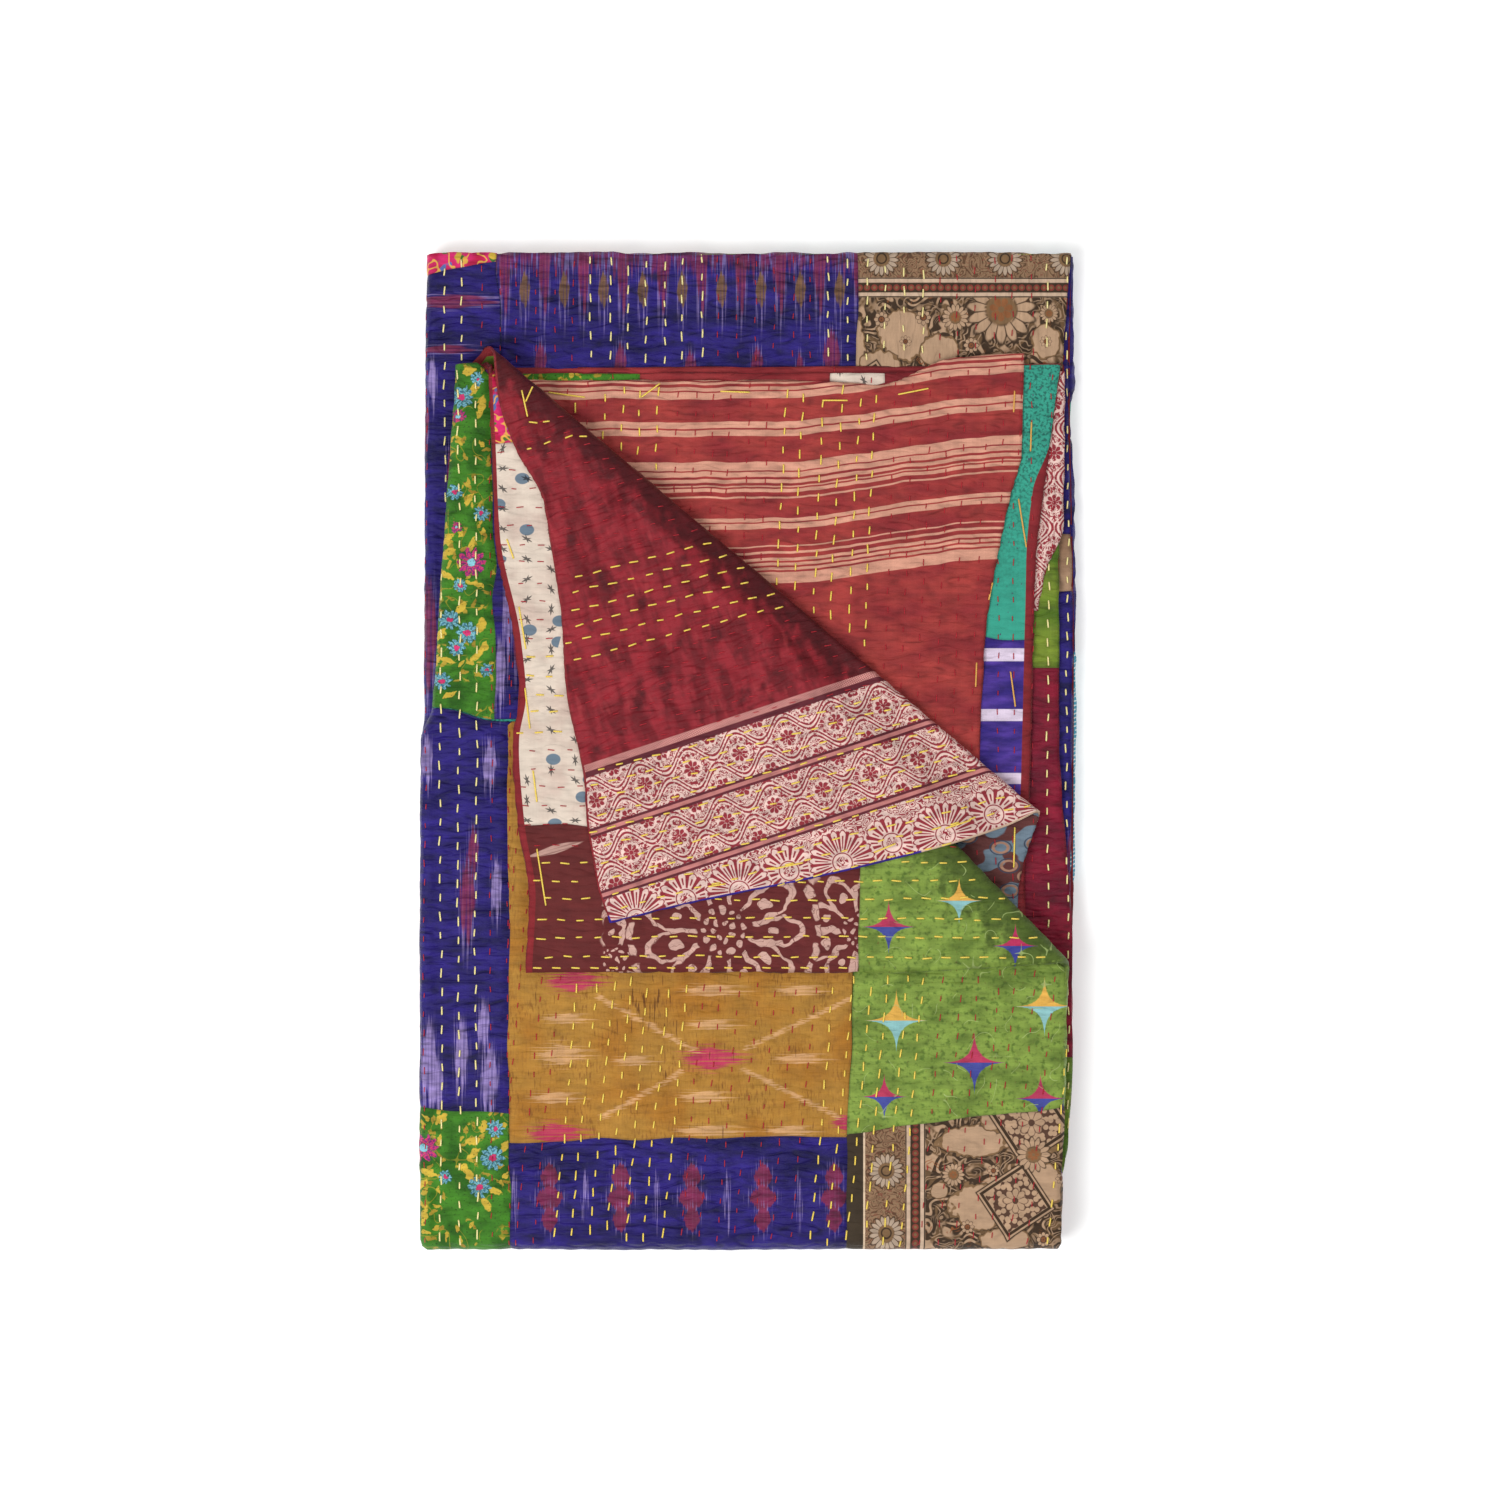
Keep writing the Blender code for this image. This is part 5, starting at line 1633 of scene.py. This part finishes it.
# ---------- running stitches
PITCH = 0.0112  # from one stitch to the next along a row
ROW_STRAY = 1.5  # how far a row strays, in the photograph's pixels
ROW_STEPS = 100  # stitches to each side of a row's middle, before those off the quilt go
QUILT_REACH = (0.21, 0.31)  # no stitch lies further out
# A row's slow wave and its turn from stitch to stitch, and how far each stitch strays by itself.
WANDER, WANDER_TURN, STRAY = 0.0006, 0.23, 0.0005
STITCH_SHARES = (0.75, 1.15)  # a stitch's length, as a share of its thread's
STITCH_SLANT = 0.12
STITCH_SINK = 0.0004  # how far a stitch's ends go into the cloth
THREAD_SIDES = 5
LAYER_SPREAD = 0.0022  # a stitch's two ends lie on one layer if their heights differ by less
# Rows by the layers that they are on. Columns: layers, the rows' angle in degrees, the photograph's
# pixels of the first row and the last, measured across the rows at a point, and of the bright rows,
# then between which pixels across the rows lie, and the bright rows' thread.
Rows = namedtuple("Rows", "layers lean point first last step bright span thread",
                  defaults=((0, 1500), "yellow"))
ROW_TABLE = [Rows(*row) for row in (
    (("L8",), 90, (0, 0), 430, 1080, 18.4, ((490, 600), (760, 880)), (0, 1500), "pale"),
    (("L1", "L3", "L5", "U5"), 90, (0, 0), 425, 1080, 18.4,
     ((432, 470), (580, 710), (822, 934), (1048, 1070)), (0, 1500), "pale"),
    (("U1",), 90, (0, 0), 424, 512, 17.2, ((436, 480),), (400, 512), "pale"),
    (("U1",), 84.6, (0, 985), 430, 1084, 18.3, ((570, 695), (816, 932), (1055, 1072)), (508, 1500)),
    (("U7", "U8"), 90, (0, 0), 430, 1080, 18.3, ()),
    (("U6",), 87.5, (0, 430), 530, 1040, 18.2, ((600, 664), (782, 884))),
    (("U4",), 0, (0, 0), 360, 975, 18.6, ((640, 735), (845, 978))),
    (("flap",), 14, (640, 0), 400, 960, 16.2, ((548, 652), (742, 960))),
)]
# Long basting stitches, in the photograph's pixels. Columns: from, to, whether they are orange.
BASTING = [
    ((548, 392), (585, 397), 0), ((641, 397), (660, 383), 0), ((720, 391), (750, 392), 0),
    ((823, 400), (848, 400), 0), ((898, 394), (929, 388), 0), ((511, 424), (503, 475), 0),
    ((508, 540), (515, 560), 0), ((520, 607), (527, 650), 0), ((526, 688), (531, 729), 0),
    ((534, 770), (538, 802), 0), ((538, 848), (547, 905), 0), ((523, 392), (529, 419), 0),
    ((534, 388), (527, 404), 0), ((977, 662), (976, 687), 1), ((993, 582), (989, 600), 1),
    ((1032, 421), (1031, 451), 1), ((1015, 390), (1014, 412), 1), ((1019, 498), (1027, 547), 1),
    ((1011, 671), (1016, 707), 1), ((1015, 753), (1015, 791), 1), ((770, 869), (803, 862), 0),
    ((873, 852), (895, 843), 0), ((944, 828), (970, 820), 0), ((708, 886), (726, 883), 0),
    ((1015, 827), (1014, 868), 0),
]
# Short stitches scattered at the turned corner's tip, as the basting.
BASTING += [((530, 424), (539, 425), 0), ((544, 424), (551, 423), 0), ((566, 440), (574, 437), 0),
            ((580, 438), (588, 438), 0), ((528, 451), (533, 450), 0), ((545, 446), (552, 443), 0),
            ((575, 402), (575, 413), 0), ((589, 427), (590, 433), 0), ((484, 386), (494, 392), 0)]
# Stitches along the turned corner's lower fold: from, to, step, length, down.
PACK_EDGE_ROW = (534, 850, 19, 9, 966.5)

UNDERSIDE = 0.002  # stitches lower than this lie on the underside
TWIST = 0.0011  # length of one turn of the thread


def surfaces(pieces):
    """A tree of all that shows, and the layer of each of its faces."""
    points, faces, owners = [], [], []
    for piece in pieces:
        start = len(points)
        points += [vertex.co.copy() for vertex in piece.data.vertices]
        faces += [[start + corner for corner in face.vertices] for face in piece.data.polygons]
        owners += [piece.name.replace("patches_", "")] * len(piece.data.polygons)
    return BVHTree.FromPolygons(points, faces), owners


def landing(tree, owners, x, y, below):
    """Where a straight drop onto the quilt lands, and on which layer."""
    start, way = ((x, y, -1), (0, 0, 1)) if below else ((x, y, 1), (0, 0, -1))
    point, _, index, _ = tree.ray_cast(Vector(start), Vector(way))
    return point, (owners[index] if point else None)


def stitch_points(tree, owners, start, end, below=False, parts=2):
    """Points of a stitch laid on the cloth from one place to another, or none if it can't lie."""
    places = [np.array(start) + (np.array(end) - start) * index / parts
              for index in range(parts + 1)]
    landings = [landing(tree, owners, *place, below) for place in places]
    names = {name for _, name in landings}
    if len(names) > 1 or None in names:
        return None, None
    heights = [point.z for point, _ in landings]
    if max(heights) - min(heights) > LAYER_SPREAD * parts:
        return None, None
    return np.array([point for point, _ in landings]), names.pop()


def row_stitches(tree, owners, rows, random, threads):
    """Rows of running stitches on some layers, gathered by their thread."""
    angle = math.radians(rows.lean)
    along = np.array([math.cos(angle), math.sin(angle)])
    side = np.array([along[1], -along[0]])
    steep = abs(along[1]) > abs(along[0])
    below = rows.layers[0] in BELOW
    span = rows.span
    for row in np.arange(rows.first, rows.last, rows.step):
        shown = row + random.uniform(-ROW_STRAY, ROW_STRAY)
        start = (shown, rows.point[1]) if steep else (rows.point[0], shown)
        middle = np.array(from_photo(*start)) + SHIFT[:2]
        name = rows.thread if any(low <= row <= high for low, high in rows.bright) else "crimson"
        thread = THREADS[name]
        bow, slip = random.uniform(-1, 1, 2)
        for step in np.arange(-ROW_STEPS, ROW_STEPS + 1):
            wander = WANDER * math.sin(step * WANDER_TURN + bow * 6) + STRAY * random.uniform(-1, 1)
            length = thread.stitch * random.uniform(*STITCH_SHARES)
            centre = middle + along * (step + slip * 0.5) * PITCH + side * wander
            tilt = along + side * random.uniform(-STITCH_SLANT, STITCH_SLANT)
            shown = (centre[0] - SHIFT[0]) / PIXEL + MIDDLE_X
            if any(abs(centre) > QUILT_REACH) or not span[0] < shown < span[1]:
                continue
            points, layer = stitch_points(tree, owners, centre - tilt * length / 2,
                                          centre + tilt * length / 2, below)
            if layer in rows.layers:
                threads[name].append(points)


def thread_mesh(name, stitches, radius):
    """Short lengths of round thread, with their ends sunk into the cloth, as one mesh."""
    turns = np.arange(THREAD_SIDES) * 2 * np.pi / THREAD_SIDES
    points, faces = [], []
    for path in stitches:
        out = np.array([0, 0, -1.0 if path[:, 2].mean() < UNDERSIDE else 1.0])
        way = (path[-1] - path[0]) / np.linalg.norm(path[-1] - path[0])
        side = np.cross(out, way)
        side /= np.linalg.norm(side)
        rings = [path[0] - out * STITCH_SINK]
        rings += [point + out * radius * 0.8 for point in
                  [path[0] + way * radius, *path[1:-1], path[-1] - way * radius]]
        rings.append(path[-1] - out * STITCH_SINK)
        thick = [0.6] + [1.0] * (len(rings) - 2) + [0.6]
        start = len(points)
        for ring, share in zip(rings, thick):
            points += [ring + (side * math.cos(a) + out * math.sin(a) * 0.85) * radius * share
                       for a in turns]
        for index in range(len(rings) - 1):
            first = start + index * THREAD_SIDES
            for corner in range(THREAD_SIDES):
                after = (corner + 1) % THREAD_SIDES
                faces.append([first + corner, first + after, first + THREAD_SIDES + after,
                              first + THREAD_SIDES + corner])
        last = start + (len(rings) - 1) * THREAD_SIDES
        faces.append([start + corner for corner in reversed(range(THREAD_SIDES))])
        faces.append([last + corner for corner in range(THREAD_SIDES)])
    mesh = bpy.data.meshes.new(name)
    mesh.from_pydata([tuple(point) for point in points], [], faces)
    mesh.shade_smooth()
    return mesh


# Threads. Columns: light colour, dark colour, thickness, length of a stitch.
Thread = namedtuple("Thread", "light dark thick stitch")
THREADS = {"yellow": Thread(ink(255, 232, 108), ink(252, 200, 60), 0.0010, 0.0054),
           "pale": Thread(ink(255, 244, 178), ink(250, 226, 130), 0.0010, 0.0054),
           "crimson": Thread(ink(196, 34, 50), ink(150, 22, 38), 0.0006, 0.0040),
           "orange": Thread(ink(246, 190, 96), ink(226, 158, 70), 0.0010, 0.0050)}


def thread_material(name):
    """Twisted cotton thread."""
    light, dark = THREADS[name][:2]
    material, tree, shader = new_material(name + " thread")
    x, y, z = parts(tree, tree.nodes.new("ShaderNodeNewGeometry").outputs["Position"])
    turns = (x + y + z * 2.0).wave(TWIST)
    cloudy = noise(x, y, 0.006, 0.006, 2, 191)
    color = mixed(light, dark, (turns * 0.25 + cloudy * 0.8).clamped())
    plug(tree, shader.inputs["Base Color"], color)
    plug(tree, shader.inputs["Roughness"], cloudy * 0.3 + 0.5)
    raise_bumps(tree, shader, turns, 0.0001)
    return material


def make_stitches(pieces):
    tree, owners = surfaces(pieces)
    random = np.random.default_rng(7)
    threads = {name: [] for name in THREADS}
    for rows in ROW_TABLE:
        row_stitches(tree, owners, rows, random, threads)
    edge_start, edge_end, edge_step, length, down = PACK_EDGE_ROW
    edge_row = [((x, down), (x + length, down + 0.5), 0)
                for x in range(edge_start, edge_end, edge_step)]
    for start, end, orange in BASTING + edge_row:
        start, end = (np.array(from_photo(*place)) + SHIFT[:2] for place in (start, end))
        points, name = stitch_points(tree, owners, start, end, parts=5)
        if name:
            threads["orange" if orange else "yellow"].append(points)
    made = []
    for name, stitches in threads.items():
        mesh = thread_mesh("stitches_" + name, stitches, THREADS[name].thick / 2)
        made.append(new_piece(mesh.name, mesh, [thread_material(name)]))
    return made


# ---------- floor, lights and camera
IMAGE, SENSOR, DISTANCE = 1500, 36.0, 2.6
FLOOR, FLOOR_SPAN = -0.0034, 4.0
# Lamps. Columns: place, size, watts.
LAMPS = {"window": ((-1.1, -0.8, 1.9), 1.2, 40), "fill": ((1.2, 1.2, 2.0), 2.0, 17)}
ROOM_LIGHT = 0.48
# The floor's paleness and roughness, and the glow that keeps it white beside the quilt.
FLOOR_COLOR, FLOOR_ROUGHNESS, FLOOR_GLOW = (0.92, 0.92, 0.92, 1), 0.9, 0.25
MIDDLE_HEIGHT = 0.024  # of the edges that the camera sees


def make_floor():
    mesh = bpy.data.meshes.new("floor")
    corners = [(FLOOR_SPAN * x, FLOOR_SPAN * y, FLOOR)
               for x, y in ((-1, -1), (1, -1), (1, 1), (-1, 1))]
    mesh.from_pydata(corners, [], [(0, 1, 2, 3)])
    material, _, shader = new_material("pale floor")
    shader.inputs["Base Color"].default_value = FLOOR_COLOR
    shader.inputs["Roughness"].default_value = FLOOR_ROUGHNESS
    shader.inputs["Emission Color"].default_value = (1, 1, 1, 1)
    shader.inputs["Emission Strength"].default_value = FLOOR_GLOW
    mesh.materials.append(material)
    new_object("floor", mesh)


def make_lamps():
    for name, (place, size, watts) in LAMPS.items():
        data = bpy.data.lights.new(name, "AREA")
        data.size = size
        data.energy = watts
        lamp = new_object(name, data)
        lamp.location = place
        lamp.rotation_euler = (-Vector(place)).to_track_quat("-Z", "Y").to_euler()
    world = bpy.data.worlds.new("room")
    world.use_nodes = True
    background = world.node_tree.nodes["Background"]
    background.inputs["Color"].default_value = (1, 1, 1, 1)
    background.inputs["Strength"].default_value = ROOM_LIGHT
    bpy.context.scene.world = world
    bpy.context.scene.view_settings.view_transform = "Standard"


def make_camera():
    data = bpy.data.cameras.new("camera")
    data.sensor_width = SENSOR
    data.lens = SENSOR * (DISTANCE - MIDDLE_HEIGHT) / (IMAGE * PIXEL)
    camera = new_object("camera", data)
    across, along = from_photo(IMAGE / 2, IMAGE / 2)
    camera.location = (across + SHIFT[0], along + SHIFT[1], DISTANCE)
    bpy.context.scene.camera = camera


make_floor()
make_lamps()
make_camera()
quilt_sheet = make_sheet()
patch_pieces = [make_layer(name) for name in LAYERS]
stitch_pieces = make_stitches([quilt_sheet] + patch_pieces)
